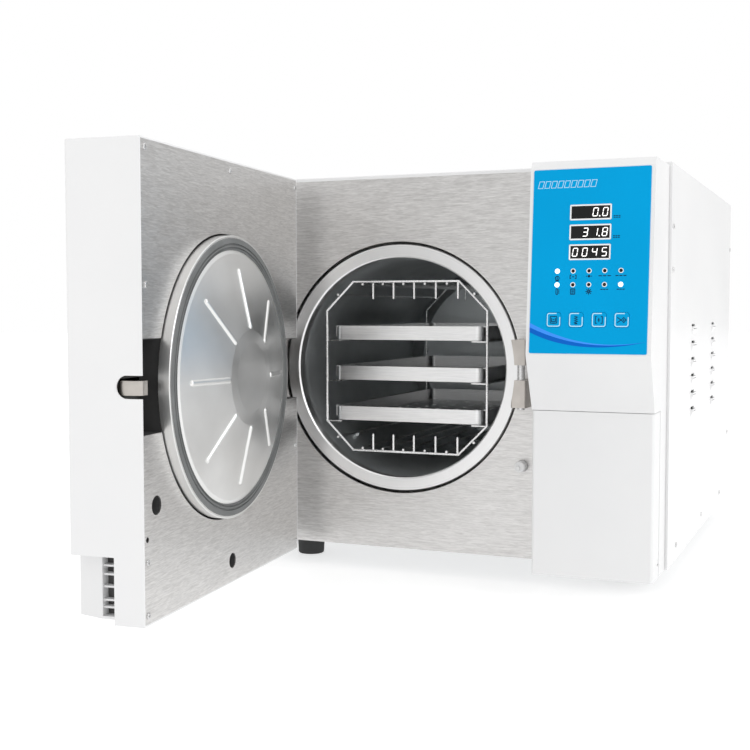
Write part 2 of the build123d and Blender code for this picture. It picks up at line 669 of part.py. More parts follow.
def door_inner_plate():
    plate = door_block((HINGE_EDGE_ROUND, DOOR_WIDTH - DOOR_SKIN), (0, DOOR_LINER),
                       (DOOR_BOTTOM + DOOR_SKIN, DOOR_TOP - DOOR_SKIN))
    plate -= rod(in_door(DISC_U, 5, CHAMBER_Z), Y_AXIS, DISC_HOLE_RADIUS, 10)
    plate -= door_block((0, HINGE_NOTCH_U), (-1, 3),
                        (CHAMBER_Z - HINGE_NOTCH_HALF, CHAMBER_Z + HINGE_NOTCH_HALF))
    plate -= door_block((LATCH_OPENING_U, DOOR_WIDTH), (-1, 3), (CHAMBER_Z - 41, CHAMBER_Z + 41))
    for u, z, radius in ((337.2, PLUNGER_Z, 8.5), (353.8, 100.7, 2.5), (181.8, 48.3, 7.5)):
        plate -= rod(in_door(u, 3, z), Y_AXIS, radius, 6)
    for u, z in door_screw_places():
        plate -= rod(in_door(u, 3, z), Y_AXIS, 1.55, 6)
    return plate


def door_screws():
    return [screw(in_door(u, 0, z), Y_AXIS) for u, z in door_screw_places()]


def door_yoke():
    """The steel bar that carries the disc from the hinge to the latch."""
    bar = door_block((40, 320), (48, 60), (CHAMBER_Z - 20, CHAMBER_Z + 20))
    bar += door_block((HINGE_U, 42), (52, 64), (CHAMBER_Z - LUG_INNER + 0.3, CHAMBER_Z + LUG_INNER - 0.3))
    bar += rod(in_door(HINGE_U, HINGE_T, CHAMBER_Z - LUG_INNER + 0.3), Z_AXIS, EYE_RADIUS,
               2 * LUG_INNER - 0.6)
    bar += door_block((DISC_U - 30, DISC_U + 30), (60, DOOR_THICKNESS - DOOR_SKIN),
                      (CHAMBER_Z - 20, CHAMBER_Z + 20))
    for z in ((HOOK_HIGH + 0.6, CHAMBER_Z + 20), (CHAMBER_Z - 20, HOOK_LOW - 0.6)):
        ear = door_block((318, 347), (36, 60), z)
        bar += fillet(ear.edges().filter_by(Axis.Z).group_by(Axis.X)[-1], 6)
    bar -= rod(in_door(HOOK_PIVOT_U, HOOK_PIVOT_T, CHAMBER_Z - 25), Z_AXIS, 3.0, 50)
    bar -= rod(in_door(DISC_U, 80, CHAMBER_Z), Y_AXIS, 10, 40)
    return bar - rod(in_door(HINGE_U, HINGE_T, CHAMBER_Z - 12), Z_AXIS, 6, 24)


def hinge_bush():
    return pipe(in_door(HINGE_U, HINGE_T, CHAMBER_Z - LUG_INNER + 0.3), Z_AXIS, 6,
                PIN_RADIUS + 0.05, 2 * LUG_INNER - 0.6)


def dish_height(radius):
    """How far the dish stands out of the door's inner face, between its rim and its flat."""
    return 28.0 - (radius - 40.0) * 17.0 / 79.0


def pressure_disc():
    """A dished lid, domed into the chamber, with a channel for the seal and pressed ribs."""
    front = [(0, 28.0), (34, 28.0), (46, dish_height(48) + 0.5), (119, dish_height(119)),
             (SEAL_INNER, 9.5), (SEAL_INNER, 4.0), (SEAL_OUTER, 4.0), (SEAL_OUTER, 10.0),
             (DISC_RADIUS - 0.6, 10.0), (DISC_RADIUS, 9.4)]
    back = [(DISC_RADIUS, -1.0), (120, -1.0), (117, 8.0),
            (46, dish_height(46) - 3), (34, 25.0), (0, 25.0)]
    profile = [(r, DOOR_INNER + p) for r, p in front + back]
    disc = turned(profile, CHAMBER_X, CHAMBER_Z)
    for step in range(8):
        angle = math.radians(step * 45)
        ends = []
        for radius in RIB_REACH:
            ends.append((CHAMBER_X + radius * math.cos(angle), DOOR_INNER + dish_height(radius) - 1.3,
                         CHAMBER_Z + radius * math.sin(angle)))
        rib = wire(ends[0], ends[1], RIB_RADIUS)
        disc += rib + Pos(*ends[0]) * Sphere(RIB_RADIUS) + Pos(*ends[1]) * Sphere(RIB_RADIUS)
    return disc


def door_gasket():
    """The seal in the disc's channel, with two grooves in its face."""
    crest, groove = 10.7, 9.3
    profile = [(SEAL_INNER, 4.0), (SEAL_OUTER, 4.0), (SEAL_OUTER, 10.0), (SEAL_OUTER - 0.9, crest)]
    for radius in (SEAL_OUTER - 6.2, SEAL_INNER + 2.2):
        profile += [(radius + 1.0, crest), (radius + 0.5, groove), (radius - 0.5, groove),
                    (radius - 1.0, crest)]
    profile += [(SEAL_INNER + 0.7, crest), (SEAL_INNER, 9.6)]
    return turned([(r, DOOR_INNER + p) for r, p in profile], CHAMBER_X, CHAMBER_Z)


def disc_stud():
    stud = rod(in_door(DISC_U, 60, CHAMBER_Z), Y_AXIS, 10, 85)
    nut = extrude(Plane(origin=in_door(DISC_U, 48, CHAMBER_Z), z_dir=Y_AXIS) * RegularPolygon(17, 6), 10)
    return stud + nut


def door_grip():
    """A moulded pull in the door's lower corner, ribbed inside its finger channel."""
    low, high = 29.0, GRIP_TOP - 0.5
    outline = [in_door(u, t, 0)[:2] for u, t in
               ((GRIP_U, GRIP_T), (352, GRIP_T), (352, 46), (344, 71.6), (GRIP_U, 71.6))]
    grip = plan_prism(outline, low, high)
    channel = door_block((333, 358), (30.2, 45), (low + 2.5, high - 1.5))
    top_corner = channel.edges().filter_by(Axis.X).group_by(Axis.Z)[-1].sort_by(Axis.Y)[-1]
    channel = fillet(top_corner, 5)
    step = door_block((333, 342), (38.6, 46), (low, high))
    grip -= channel - step
    for z in GRIP_RIBS:
        grip += door_block((332, 349.5), (30.0, 45.2), (z - 0.8, z + 0.8))
    for z in GRIP_SCREWS:
        grip -= rod(in_door(320, 34.4, z), X_AXIS, 2.2, 20)
    return grip


def latch_motor():
    """Gearmotor under the yoke; its shaft carries the hook."""
    body = door_block((322, 354), (28.5, 60), (CHAMBER_Z - 62, CHAMBER_Z - 20))
    body = fillet(body.edges().filter_by(Axis.Z), 4)
    body += rod(in_door(HOOK_PIVOT_U, HOOK_PIVOT_T, CHAMBER_Z - 96), Z_AXIS, 12, 34)
    return body + rod(in_door(HOOK_PIVOT_U, HOOK_PIVOT_T, CHAMBER_Z - 20), Z_AXIS, 3, 42)


def latch_hook():
    """The claw, shown released; it turns inwards to catch the latch pin."""
    inside = [(331, 42), (334, 36), (346, 36), (352, 25), (352, 6.5), (346.8, 6.5), (346.8, 2.2)]
    nose = [(337.3 + 21 * math.cos(math.radians(a)), 14.1 + 21 * math.sin(math.radians(a)))
            for a in range(-34, 35, 4)]
    outline = inside + nose + [(352, 38), (344, 48)]
    hook = plan_prism([in_door(u, t, 0)[:2] for u, t in outline], HOOK_LOW, HOOK_HIGH)
    eye = rod(in_door(HOOK_PIVOT_U, HOOK_PIVOT_T, HOOK_LOW), Z_AXIS, 7.5, HOOK_HIGH - HOOK_LOW)
    return hook + eye - rod(in_door(HOOK_PIVOT_U, HOOK_PIVOT_T, HOOK_LOW - 1), Z_AXIS, 3.05, 20)


# ---------------------------------------------------------------- control housing

def housing_profile():
    points = [(HOUSING_BACK, 442.0), (FACE_TOP_Y + 5, 442.0), (FACE_TOP_Y, FACE_TOP_Z),
              (FACE_LOW_Y, FACE_LOW_Z), (SEAM_Y, SEAM_Z), (HOUSING_BACK, SEAM_Z)]
    face = make_face(Polyline(*points, close=True))
    bulge = face.vertices().sort_by(Axis.X)[0]
    return fillet(bulge, 14)


def control_housing():
    width = HOUSING_RIGHT - HOUSING_LEFT
    wall = HOUSING_WALL
    profile = housing_profile()
    housing = extrude(Plane.YZ.offset(HOUSING_LEFT) * profile, width)
    inner = extrude(Plane.YZ.offset(HOUSING_LEFT + wall) * offset(profile, -wall), width - 2 * wall)
    housing -= inner
    x = (HOUSING_LEFT, HOUSING_RIGHT)
    inside_x = (HOUSING_LEFT + wall, HOUSING_RIGHT - wall)
    housing -= block(inside_x, (HOUSING_BACK - 6, HOUSING_BACK + 1), (SEAM_Z + wall, 442 - wall))
    frame = block(x, (FRONT - 37.2, HOUSING_BACK), (SERVICE_BOTTOM, SEAM_Z))
    frame -= block(inside_x, (FRONT - 40, HOUSING_BACK + 1), (SERVICE_BOTTOM + wall, SEAM_Z - 0.5))
    frame += block((236, 243.6), (FRONT - 43.4, FRONT - 37.2), (SERVICE_BOTTOM + 14, SERVICE_BOTTOM + 17))
    housing += frame
    for z in (SERVICE_BOTTOM + 17, SEAM_Z - 12):
        housing += rod((SERVICE_PIN_X, SERVICE_PIN_Y, z), Z_AXIS, SERVICE_PIN_RADIUS, 12)
    for x_post in (HOUSING_LEFT + 6, HOUSING_RIGHT - 6):
        for z in (425, 215, 60):
            housing += rod((x_post, HOUSING_BACK - 25, z), Y_AXIS, 4, FRONT - HOUSING_BACK + 25)
    for top in DISPLAY_TOPS:
        housing -= face_plate(DISPLAY_X - 20.4, top - 0.1, 40.8, 15.4, -6, 2)
    for x_lamp in LAMP_XS:
        for row in LAMP_ROWS:
            housing -= face_rod(x_lamp, row, -6, 2, LAMP_RADIUS)
    for left in KEY_LEFTS:
        housing -= face_plate(left - 0.3, KEY_TOP - 0.3, KEY_SIZE + 0.6, KEY_SIZE + 0.6, -6, 2, 2.8)
    return housing


def label_overlay():
    sheet = face_plate(3.5, 1.0, 114.7, 180.5, 0, LABEL_THICKNESS, 1.5)
    for top in DISPLAY_TOPS:
        sheet -= face_plate(DISPLAY_X - 20.3, top, *DISPLAY_SIZE, -1, 2)
    for x in LAMP_XS:
        for row in LAMP_ROWS:
            sheet -= face_rod(x, row, -1, 2, LAMP_RADIUS)
    for left in KEY_LEFTS:
        sheet -= face_plate(left - 0.3, KEY_TOP - 0.3, KEY_SIZE + 0.6, KEY_SIZE + 0.6, -1, 2, 2.8)
    return sheet


def display_windows():
    return [face_plate(DISPLAY_X - 20.3, top, *DISPLAY_SIZE, -2.0, 0.6) for top in DISPLAY_TOPS]


def indicator_lamps():
    return [face_rod(x, row, -3.0, 0.8, LAMP_RADIUS) for x in LAMP_XS for row in LAMP_ROWS]


def display_board():
    """The circuit board behind the panel, with the key switches."""
    board = face_plate(10, 30, 102, 130, -12, -10.4)
    for left in KEY_LEFTS:
        board += face_plate(left + 4, KEY_TOP + 4, 6, 6, -10.4, -6.5)
    for x, down in ((14, 34), (108, 34), (14, 156), (108, 156)):
        board += face_rod(x, down, -10.4, -3.0, 2.5)
    return board


def key(left):
    """A key cap, proud of the panel, with a stem towards its switch."""
    cap = face_plate(left, KEY_TOP, KEY_SIZE, KEY_SIZE, -2.6, 0.9, 2.5)
    return cap + face_rod(left + KEY_SIZE / 2, KEY_TOP + KEY_SIZE / 2, -5.4, -2.6, 2)


def service_door():
    """The lower cover, hinged on its right, over the drain tap and the filter."""
    wall = 2.5
    x = (HOUSING_LEFT, HOUSING_RIGHT)
    top, low = SEAM_Z - 0.5, SERVICE_BOTTOM
    door = block(x, (SEAM_Y, SERVICE_BACK), (low, top))
    door = fillet(door.edges().filter_by(Axis.Z).group_by(Axis.Y)[0], 3)
    door -= block((x[0] + wall, x[1] - wall), (SEAM_Y + wall, SERVICE_BACK + 1), (low + wall, top + 1))
    for z in (low + 18, top - 14):
        door += rod((SERVICE_PIN_X, SERVICE_PIN_Y, z), Z_AXIS, 2.75, 12)
    door -= block((234, 245), (FRONT - 46.5, FRONT - 37), (low + 12.5, low + 18))
    for z in (low + 17, top - 15):
        door -= rod((SERVICE_PIN_X, SERVICE_PIN_Y, z), Z_AXIS, SERVICE_PIN_RADIUS + 0.05, 20)
    return door


def drain_valve_body():
    valve = rod((DRAIN_X, FRONT - 14, DRAIN_Z), Y_AXIS, 8.5, 44)
    valve += extrude(Plane(origin=(DRAIN_X, FRONT - 8, DRAIN_Z), z_dir=Y_AXIS) * RegularPolygon(13, 6), 8)
    valve += rod((DRAIN_X, FRONT + 22, DRAIN_Z), (0, 0, -1), 5, 30)
    return valve + rod((DRAIN_X, FRONT - 26, DRAIN_Z), Y_AXIS, 3, 12)


def drain_knob():
    knob = rod((DRAIN_X, FRONT - 38, DRAIN_Z), Y_AXIS, 15, 16)
    knob = fillet(knob.edges().group_by(Axis.Y)[0], 2)
    for step in range(12):
        angle = math.radians(step * 30)
        knob -= rod((DRAIN_X + 16 * math.cos(angle), FRONT - 40, DRAIN_Z + 16 * math.sin(angle)),
                    Y_AXIS, 2.2, 20)
    knob += block((DRAIN_X - 1.5, DRAIN_X + 1.5), (FRONT - 40, FRONT - 37.5), (DRAIN_Z + 1, DRAIN_Z + 12))
    return knob - rod((DRAIN_X, FRONT - 26, DRAIN_Z), Y_AXIS, 3.05, 12)


def bacterial_filter():
    body = rod((DRAIN_X, FRONT - 36, FILTER_Z), Y_AXIS, 24, 22)
    body = fillet(body.edges().group_by(Axis.Y)[0] + body.edges().group_by(Axis.Y)[-1], 4)
    return body + rod((DRAIN_X, FRONT - 14, FILTER_Z), Y_AXIS, 7, 34)


# ---------------------------------------------------------------- rack, trays and lid

def octagon(y):
    """The corners of a wire hoop at one depth."""
    flat = RACK_HALF - RACK_CUT
    corners = [(RACK_HALF, flat), (flat, RACK_HALF), (-flat, RACK_HALF), (-RACK_HALF, flat),
               (-RACK_HALF, -flat), (-flat, -RACK_HALF), (flat, -RACK_HALF), (RACK_HALF, -flat)]
    return [Vector(CHAMBER_X + x, y, CHAMBER_Z + z) for x, z in corners]


def hoop(y):
    """Eight straight wires, mitred where they meet."""
    corners = octagon(y)
    wires = []
    for index, start in enumerate(corners):
        before, end, after = corners[index - 1], corners[(index + 1) % 8], corners[(index + 2) % 8]
        along = (end - start).normalized()
        side = wire(start - along * 2 * WIRE, end + along * 2 * WIRE)
        first_mitre = Plane(origin=start, z_dir=along + (start - before).normalized())
        last_mitre = Plane(origin=end, z_dir=along + (after - end).normalized())
        side = split(side, bisect_by=first_mitre, keep=Keep.TOP)
        wires.append(split(side, bisect_by=last_mitre, keep=Keep.BOTTOM))
    return wires


def prong(x, y, side):
    """A round-ended wire that stands on a hoop and points into the rack."""
    root = (CHAMBER_X + x, y, CHAMBER_Z + side * (RACK_HALF - WIRE))
    piece = rod(root, (0, 0, -side), WIRE, PRONG_LENGTH - WIRE)
    ends = piece.edges().filter_by(GeomType.CIRCLE).sort_by(Axis.Z)
    return fillet(ends[0 if side > 0 else -1], WIRE - 0.2)


def runner(x, z, radius=WIRE, start=RACK_FRONT - 2, length=RACK_REAR - RACK_FRONT + 4):
    return rod((CHAMBER_X + x, start, CHAMBER_Z + z), Y_AXIS, radius, length)


def tray_rack():
    """Two hoops joined by long wires, with three pairs of rails for the trays."""
    parts = hoop(RACK_FRONT) + hoop(RACK_REAR)
    for x in PRONG_XS:
        for side in (-1, 1):
            parts += [prong(x, y, side) for y in (RACK_FRONT, RACK_REAR)]
            parts.append(runner(x - RUNNER_SHIFT, side * (RACK_HALF - 2 * WIRE)))
    corner = RACK_HALF - RACK_CUT / 2 + 2 * WIRE * math.sqrt(0.5)
    under = corner + (WIRE + RACK_FOOT_RADIUS) * math.sqrt(0.5)
    for side in (-1, 1):
        parts += [runner(side * corner, corner), runner(side * corner, -corner)]
        for y in (RACK_FRONT + 60, RACK_REAR - 40):
            parts.append(runner(side * under, -under, RACK_FOOT_RADIUS, y, 12))
    for top in TRAY_TOPS:
        z = top - TRAY_DEPTH - 0.4
        for side in (-1, 1):
            x = sorted(CHAMBER_X + side * reach for reach in (RACK_HALF - WIRE, RACK_HALF - RAIL_REACH))
            parts.append(block(x, (RACK_FRONT, RACK_REAR), (z - 1.2, z)))
    return parts


def tray(top):
    """A shallow folded pan with rolled side lips and a pierced floor."""
    x = (CHAMBER_X - TRAY_HALF, CHAMBER_X + TRAY_HALF)
    pan = block(x, (TRAY_FRONT, TRAY_REAR), (top - TRAY_DEPTH, top))
    pan = fillet(pan.edges().filter_by(Axis.Z), 7)
    hollow = block((x[0] + 1, x[1] - 1), (TRAY_FRONT + 1, TRAY_REAR - 1), (top - TRAY_DEPTH + 1, top + 1))
    pan -= fillet(hollow.edges().filter_by(Axis.Z), 6)
    for side in (-1, 1):
        edge = CHAMBER_X + side * TRAY_HALF
        lip = sorted((edge - side * 0.5, edge + side * 4.5))
        drop = sorted((edge + side * 3.5, edge + side * 4.5))
        pan += block(lip, (TRAY_FRONT + 10, TRAY_REAR - 10), (top - 1, top))
        pan += block(drop, (TRAY_FRONT + 10, TRAY_REAR - 10), (top - LIP_DROP, top))
    holes = [
        rod((CHAMBER_X + column * 26, TRAY_FRONT + 32 + row * 29, top - TRAY_DEPTH - 1), Z_AXIS, 4, 4)
        for column in range(-3, 4)
        for row in range(10)
    ]
    return pan.cut(*holes)


def tank_lid():
    x, y = (LID_X - 40, LID_X + 40), (LID_Y - 45, LID_Y + 45)
    lid = block(x, y, (CABINET_TOP + 0.4, CABINET_TOP + 4.4))
    lid = fillet(lid.edges().filter_by(Axis.Z), 8)
    lid = fillet(lid.edges().group_by(Axis.Z)[-1], 1.5)
    lid += block((LID_X - 27, LID_X + 27), (LID_Y - 32, LID_Y + 32), (CABINET_TOP - 8, CABINET_TOP + 0.4))
    grip = block((LID_X - 22, LID_X + 22), (LID_Y - 5, LID_Y + 5), (CABINET_TOP + 4.4, CABINET_TOP + 14))
    return lid + fillet(grip.edges().group_by(Axis.Z)[-1], 3)


CABINET_PIECES = [
    base_tray, front_plate, top_cover, left_side_panel, right_side_panel, rear_panel, rubber_feet,
    cabinet_screws, chamber_vessel, chamber_flange, chamber_lagging, chamber_saddles,
    steam_generator, safety_valve, water_tank, vacuum_pump, condenser_coil,
    fan_frame, solenoid_valves, copper_pipes, main_board, display_board, power_inlet,
    drain_fittings, hinge_bracket, hinge_pin, latch_clevis, latch_pin, door_switch_body,
    control_housing, label_overlay, display_windows, indicator_lamps,
    drain_valve_body, bacterial_filter, tray_rack, cooling_fan_rotor, door_switch_plunger,
    service_door, drain_knob, power_switch_rocker, tank_lid,
]
DOOR_PIECES = [
    door_cover, door_inner_plate, door_yoke, hinge_bush, pressure_disc, door_gasket, disc_stud,
    door_grip, latch_motor, door_screws, latch_hook,
]


def solids(made):
    """Every solid of a piece, whether it came as one shape or as a list."""
    shapes = made if isinstance(made, list) else [made]
    return [solid for shape in shapes for solid in shape.solids()]


def write(node, made):
    export_step(Compound(children=solids(made)), f"parts/{node}.step")


def main():
    os.makedirs("parts", exist_ok=True)
    for piece in CABINET_PIECES:
        write(piece.__name__, piece())
    for piece in DOOR_PIECES:
        write(piece.__name__, [opened(solid) for solid in solids(piece())])
    for number, left in enumerate(KEY_LEFTS, start=1):
        write(f"key_{number}", key(left))
    for name, top in zip(("tray_top", "tray_middle", "tray_bottom"), TRAY_TOPS):
        write(name, tray(top))


main()
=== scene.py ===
import json
import math

import bmesh
import bpy
from mathutils import Matrix, Vector

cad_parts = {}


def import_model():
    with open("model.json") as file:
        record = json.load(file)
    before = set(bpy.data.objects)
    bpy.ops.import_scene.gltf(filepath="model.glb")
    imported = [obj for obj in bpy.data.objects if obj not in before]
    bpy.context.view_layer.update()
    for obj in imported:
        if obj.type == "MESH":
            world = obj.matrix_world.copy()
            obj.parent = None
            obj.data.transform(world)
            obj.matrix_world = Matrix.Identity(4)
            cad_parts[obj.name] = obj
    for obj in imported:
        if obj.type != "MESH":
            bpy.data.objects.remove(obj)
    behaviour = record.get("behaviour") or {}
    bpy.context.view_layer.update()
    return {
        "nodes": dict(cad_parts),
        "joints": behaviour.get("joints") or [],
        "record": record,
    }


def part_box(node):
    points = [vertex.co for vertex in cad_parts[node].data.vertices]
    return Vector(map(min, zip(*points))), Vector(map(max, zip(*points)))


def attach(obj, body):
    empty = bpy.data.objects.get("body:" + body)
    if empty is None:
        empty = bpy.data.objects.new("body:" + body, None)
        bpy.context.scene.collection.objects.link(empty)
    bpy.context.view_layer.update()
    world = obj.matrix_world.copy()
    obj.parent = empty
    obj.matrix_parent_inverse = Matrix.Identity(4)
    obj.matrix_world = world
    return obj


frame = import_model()

# Benchtop steam autoclave, metres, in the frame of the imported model: +X right, +Y back, +Z up.
NODES = frame["nodes"]
RECORD = frame["record"]
JOINTS = {joint["name"]: joint for joint in frame["joints"]}
MM = 0.001
X_AXIS, Y_AXIS = Vector((1, 0, 0)), Vector((0, 1, 0))


# ---------------------------------------------------------------- materials

class Look:
    """One material: a Principled shader fed by textures in object coordinates, which are metres."""

    def __init__(self, name, colour, roughness, **sockets):
        self.material = bpy.data.materials.new(name)
        self.material.use_nodes = True
        self.tree = self.material.node_tree
        self.shader = self.tree.nodes["Principled BSDF"]
        self.coords = self.add("ShaderNodeTexCoord").outputs["Object"]
        self.shader.inputs["Base Color"].default_value = (*colour, 1.0)
        self.shader.inputs["Roughness"].default_value = roughness
        for socket, value in sockets.items():
            self.shader.inputs[socket.replace("_", " ")].default_value = value

    def add(self, kind, inputs=None, **settings):
        """A node with its settings, and its inputs linked or set."""
        node = self.tree.nodes.new(kind)
        for key, value in settings.items():
            setattr(node, key, value)
        for key, value in (inputs or {}).items():
            if isinstance(value, bpy.types.NodeSocket):
                self.tree.links.new(value, node.inputs[key])
            else:
                node.inputs[key].default_value = value
        return node

    def noise(self, per_metre, detail=3.0, distortion=0.0):
        """Noise whose features are 1 / per_metre long along X, Y and Z."""
        placed = self.add("ShaderNodeMapping", {"Vector": self.coords, "Scale": per_metre})
        noise = self.add("ShaderNodeTexNoise", {
            "Vector": placed.outputs["Vector"], "Scale": 1.0, "Detail": detail, "Distortion": distortion,
        })
        return noise.outputs["Fac"]

    def rings(self, centre, axis, per_metre):
        """Noise that changes only with the distance from an axis, as turning marks do."""
        offset = self.add("ShaderNodeVectorMath", {0: self.coords, 1: centre}, operation="SUBTRACT")
        across = self.add("ShaderNodeVectorMath", {0: offset.outputs[0], 1: axis},
                          operation="CROSS_PRODUCT")
        radius = self.add("ShaderNodeVectorMath", {0: across.outputs[0]}, operation="LENGTH")
        noise = self.add("ShaderNodeTexNoise", {
            "W": radius.outputs["Value"], "Scale": per_metre, "Detail": 3.0,
        }, noise_dimensions="1D")
        return noise.outputs["Fac"]

    def mix(self, first, second, operation="ADD"):
        return self.add("ShaderNodeMath", {0: first, 1: second}, operation=operation).outputs[0]

    def shades(self, value, dark, light, start=0.3, end=0.7):
        """Colours the surface between two shades."""
        ramp = self.add("ShaderNodeValToRGB", {"Fac": value})
        for element, place, colour in zip(ramp.color_ramp.elements, (start, end), (dark, light)):
            element.position = place
            element.color = (*colour, 1.0)
        self.tree.links.new(ramp.outputs["Color"], self.shader.inputs["Base Color"])
        return self

    def gloss(self, value, low, high, start=0.3, end=0.7):
        """Varies the roughness between two values."""
        spread = self.add("ShaderNodeMapRange", {
            "Value": value, "From Min": start, "From Max": end, "To Min": low, "To Max": high,
        })
        self.tree.links.new(spread.outputs["Result"], self.shader.inputs["Roughness"])
        return self

    def bump(self, height, depth, strength):
        """Raises the surface by up to depth metres where height is 1."""
        bump = self.add("ShaderNodeBump", {"Height": height, "Distance": depth, "Strength": strength})
        self.tree.links.new(bump.outputs["Normal"], self.shader.inputs["Normal"])
        return self


def grey(value, tint=(1.0, 1.0, 1.0)):
    return tuple(value * part for part in tint)


def enamel():
    look = Look("white_enamel", grey(0.86), 0.35, Coat_Weight=0.25, Coat_Roughness=0.18)
    cloud = look.noise((7, 7, 7), 4.0)
    peel = look.noise((700, 700, 700), 2.0)
    look.shades(cloud, (0.785, 0.786, 0.790), (0.815, 0.815, 0.815))
    look.gloss(cloud, 0.30, 0.40)
    return look.bump(peel, 0.00005, 0.35)


def moulded(name, dark, light, roughness):
    """Injection-moulded plastic with a fine spark-eroded texture."""
    look = Look(name, light, roughness)
    cloud = look.noise((9, 9, 9), 4.0)
    texture = look.noise((1600, 1600, 1600), 2.0)
    look.shades(cloud, dark, light)
    look.gloss(cloud, roughness - 0.05, roughness + 0.05)
    return look.bump(texture, 0.00004, 0.4)


def brushed(name, dark, light, roughness, long_way=(60, 60, 650)):
    """Sheet steel with a short, slightly wavy grain: few features along it, many across."""
    look = Look(name, light, roughness, Metallic=1.0)
    coarse = look.noise(long_way, 3.0, 0.9)
    fine = look.noise([2.7 * part for part in long_way], 2.0, 0.4)
    cloud = look.noise((6, 6, 6), 2.0)
    grain = look.mix(look.mix(coarse, 0.55, "MULTIPLY"), look.mix(fine, 0.30, "MULTIPLY"))
    grain = look.mix(grain, look.mix(cloud, 0.15, "MULTIPLY"))
    look.shades(grain, dark, light, 0.38, 0.62)
    look.gloss(grain, roughness - 0.05, roughness + 0.08)
    return look.bump(grain, 0.00005, 0.25)


def satin_steel(name, dark, light, roughness):
    """Smooth pressed steel, with soft clouding and a very fine grain."""
    look = Look(name, light, roughness, Metallic=1.0)
    cloud = look.noise((16, 16, 16), 4.0)
    texture = look.noise((1300, 1300, 1300), 2.0)
    look.shades(cloud, dark, light)
    look.gloss(cloud, roughness - 0.05, roughness + 0.07)
    return look.bump(texture, 0.00002, 0.2)


def turned_steel(name, dark, light, roughness, centre, axis):
    """Steel with turning marks round an axis."""
    look = Look(name, light, roughness, Metallic=1.0)
    marks = look.rings(centre, axis, 900)
    cloud = look.noise((14, 14, 14), 3.0)
    mixed = look.mix(look.mix(marks, 0.6, "MULTIPLY"), look.mix(cloud, 0.4, "MULTIPLY"))
    look.shades(mixed, dark, light)
    look.gloss(marks, roughness - 0.04, roughness + 0.06)
    return look.bump(marks, 0.00003, 0.25)


def plated(name, dark, light, roughness):
    """Satin plate or ground steel, with a fine even grain."""
    look = Look(name, light, roughness, Metallic=1.0)
    texture = look.noise((500, 500, 500), 3.0)
    cloud = look.noise((40, 40, 40), 3.0)
    look.shades(cloud, dark, light)
    look.gloss(texture, roughness - 0.05, roughness + 0.08)
    return look.bump(texture, 0.00003, 0.3)


def galvanised():
    look = Look("galvanised", grey(0.5), 0.42, Metallic=1.0)
    spangle = look.add("ShaderNodeTexVoronoi", {"Vector": look.coords, "Scale": 160.0})
    cells = look.add("ShaderNodeSeparateColor", {"Color": spangle.outputs["Color"]}).outputs["Red"]
    look.shades(cells, (0.40, 0.42, 0.43), (0.58, 0.60, 0.61), 0.0, 1.0)
    look.gloss(cells, 0.34, 0.50, 0.0, 1.0)
    return look.bump(look.noise((900, 900, 900)), 0.00003, 0.3)


def rubber(name, dark, light, roughness):
    look = Look(name, light, roughness)
    bloom = look.noise((30, 30, 30), 5.0)
    texture = look.noise((1400, 1400, 1400), 3.0)
    look.shades(bloom, dark, light)
    look.gloss(bloom, roughness - 0.08, roughness + 0.08)
    return look.bump(texture, 0.00006, 0.4)


def woven(name, dark, light):
    """Glass cloth, a plain weave of two crossing sets of threads."""
    look = Look(name, light, 0.8, Sheen_Weight=0.3)
    threads = []
    for direction in ("X", "Y"):
        wave = look.add("ShaderNodeTexWave", {"Vector": look.coords, "Scale": 120.0, "Distortion": 0.6},
                        bands_direction=direction)
        threads.append(wave.outputs["Fac"])
    weave = look.mix(threads[0], threads[1], "MULTIPLY")
    look.shades(weave, dark, light, 0.0, 1.0)
    look.gloss(weave, 0.7, 0.9, 0.0, 1.0)
    return look.bump(weave, 0.0003, 0.6)


def film(name, dark, light, roughness=0.38, specular=0.12):
    """Printed polyester film with a faintly grained face."""
    look = Look(name, light, roughness, Specular_IOR_Level=specular)
    cloud = look.noise((12, 12, 12), 3.0)
    texture = look.noise((2400, 2400, 2400), 2.0)
    look.shades(cloud, dark, light)
    look.gloss(texture, roughness - 0.06, roughness + 0.08)
    return look.bump(texture, 0.00002, 0.3)


def glowing(name, colour):
    look = Look(name, colour, 0.4, Emission_Strength=0.9)
    level = look.noise((900, 900, 900), 2.0)
    look.shades(level, grey(0.92, colour), colour)
    look.shader.inputs["Emission Color"].default_value = (*colour, 1.0)
    return look.gloss(level, 0.3, 0.5)


def middle(node):
    low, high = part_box(node)
    return (low + high) / 2


CHAMBER_CENTRE = middle("chamber_flange")

PANEL_BLUE = (0.0, 0.325, 0.66), (0.0, 0.34, 0.69)

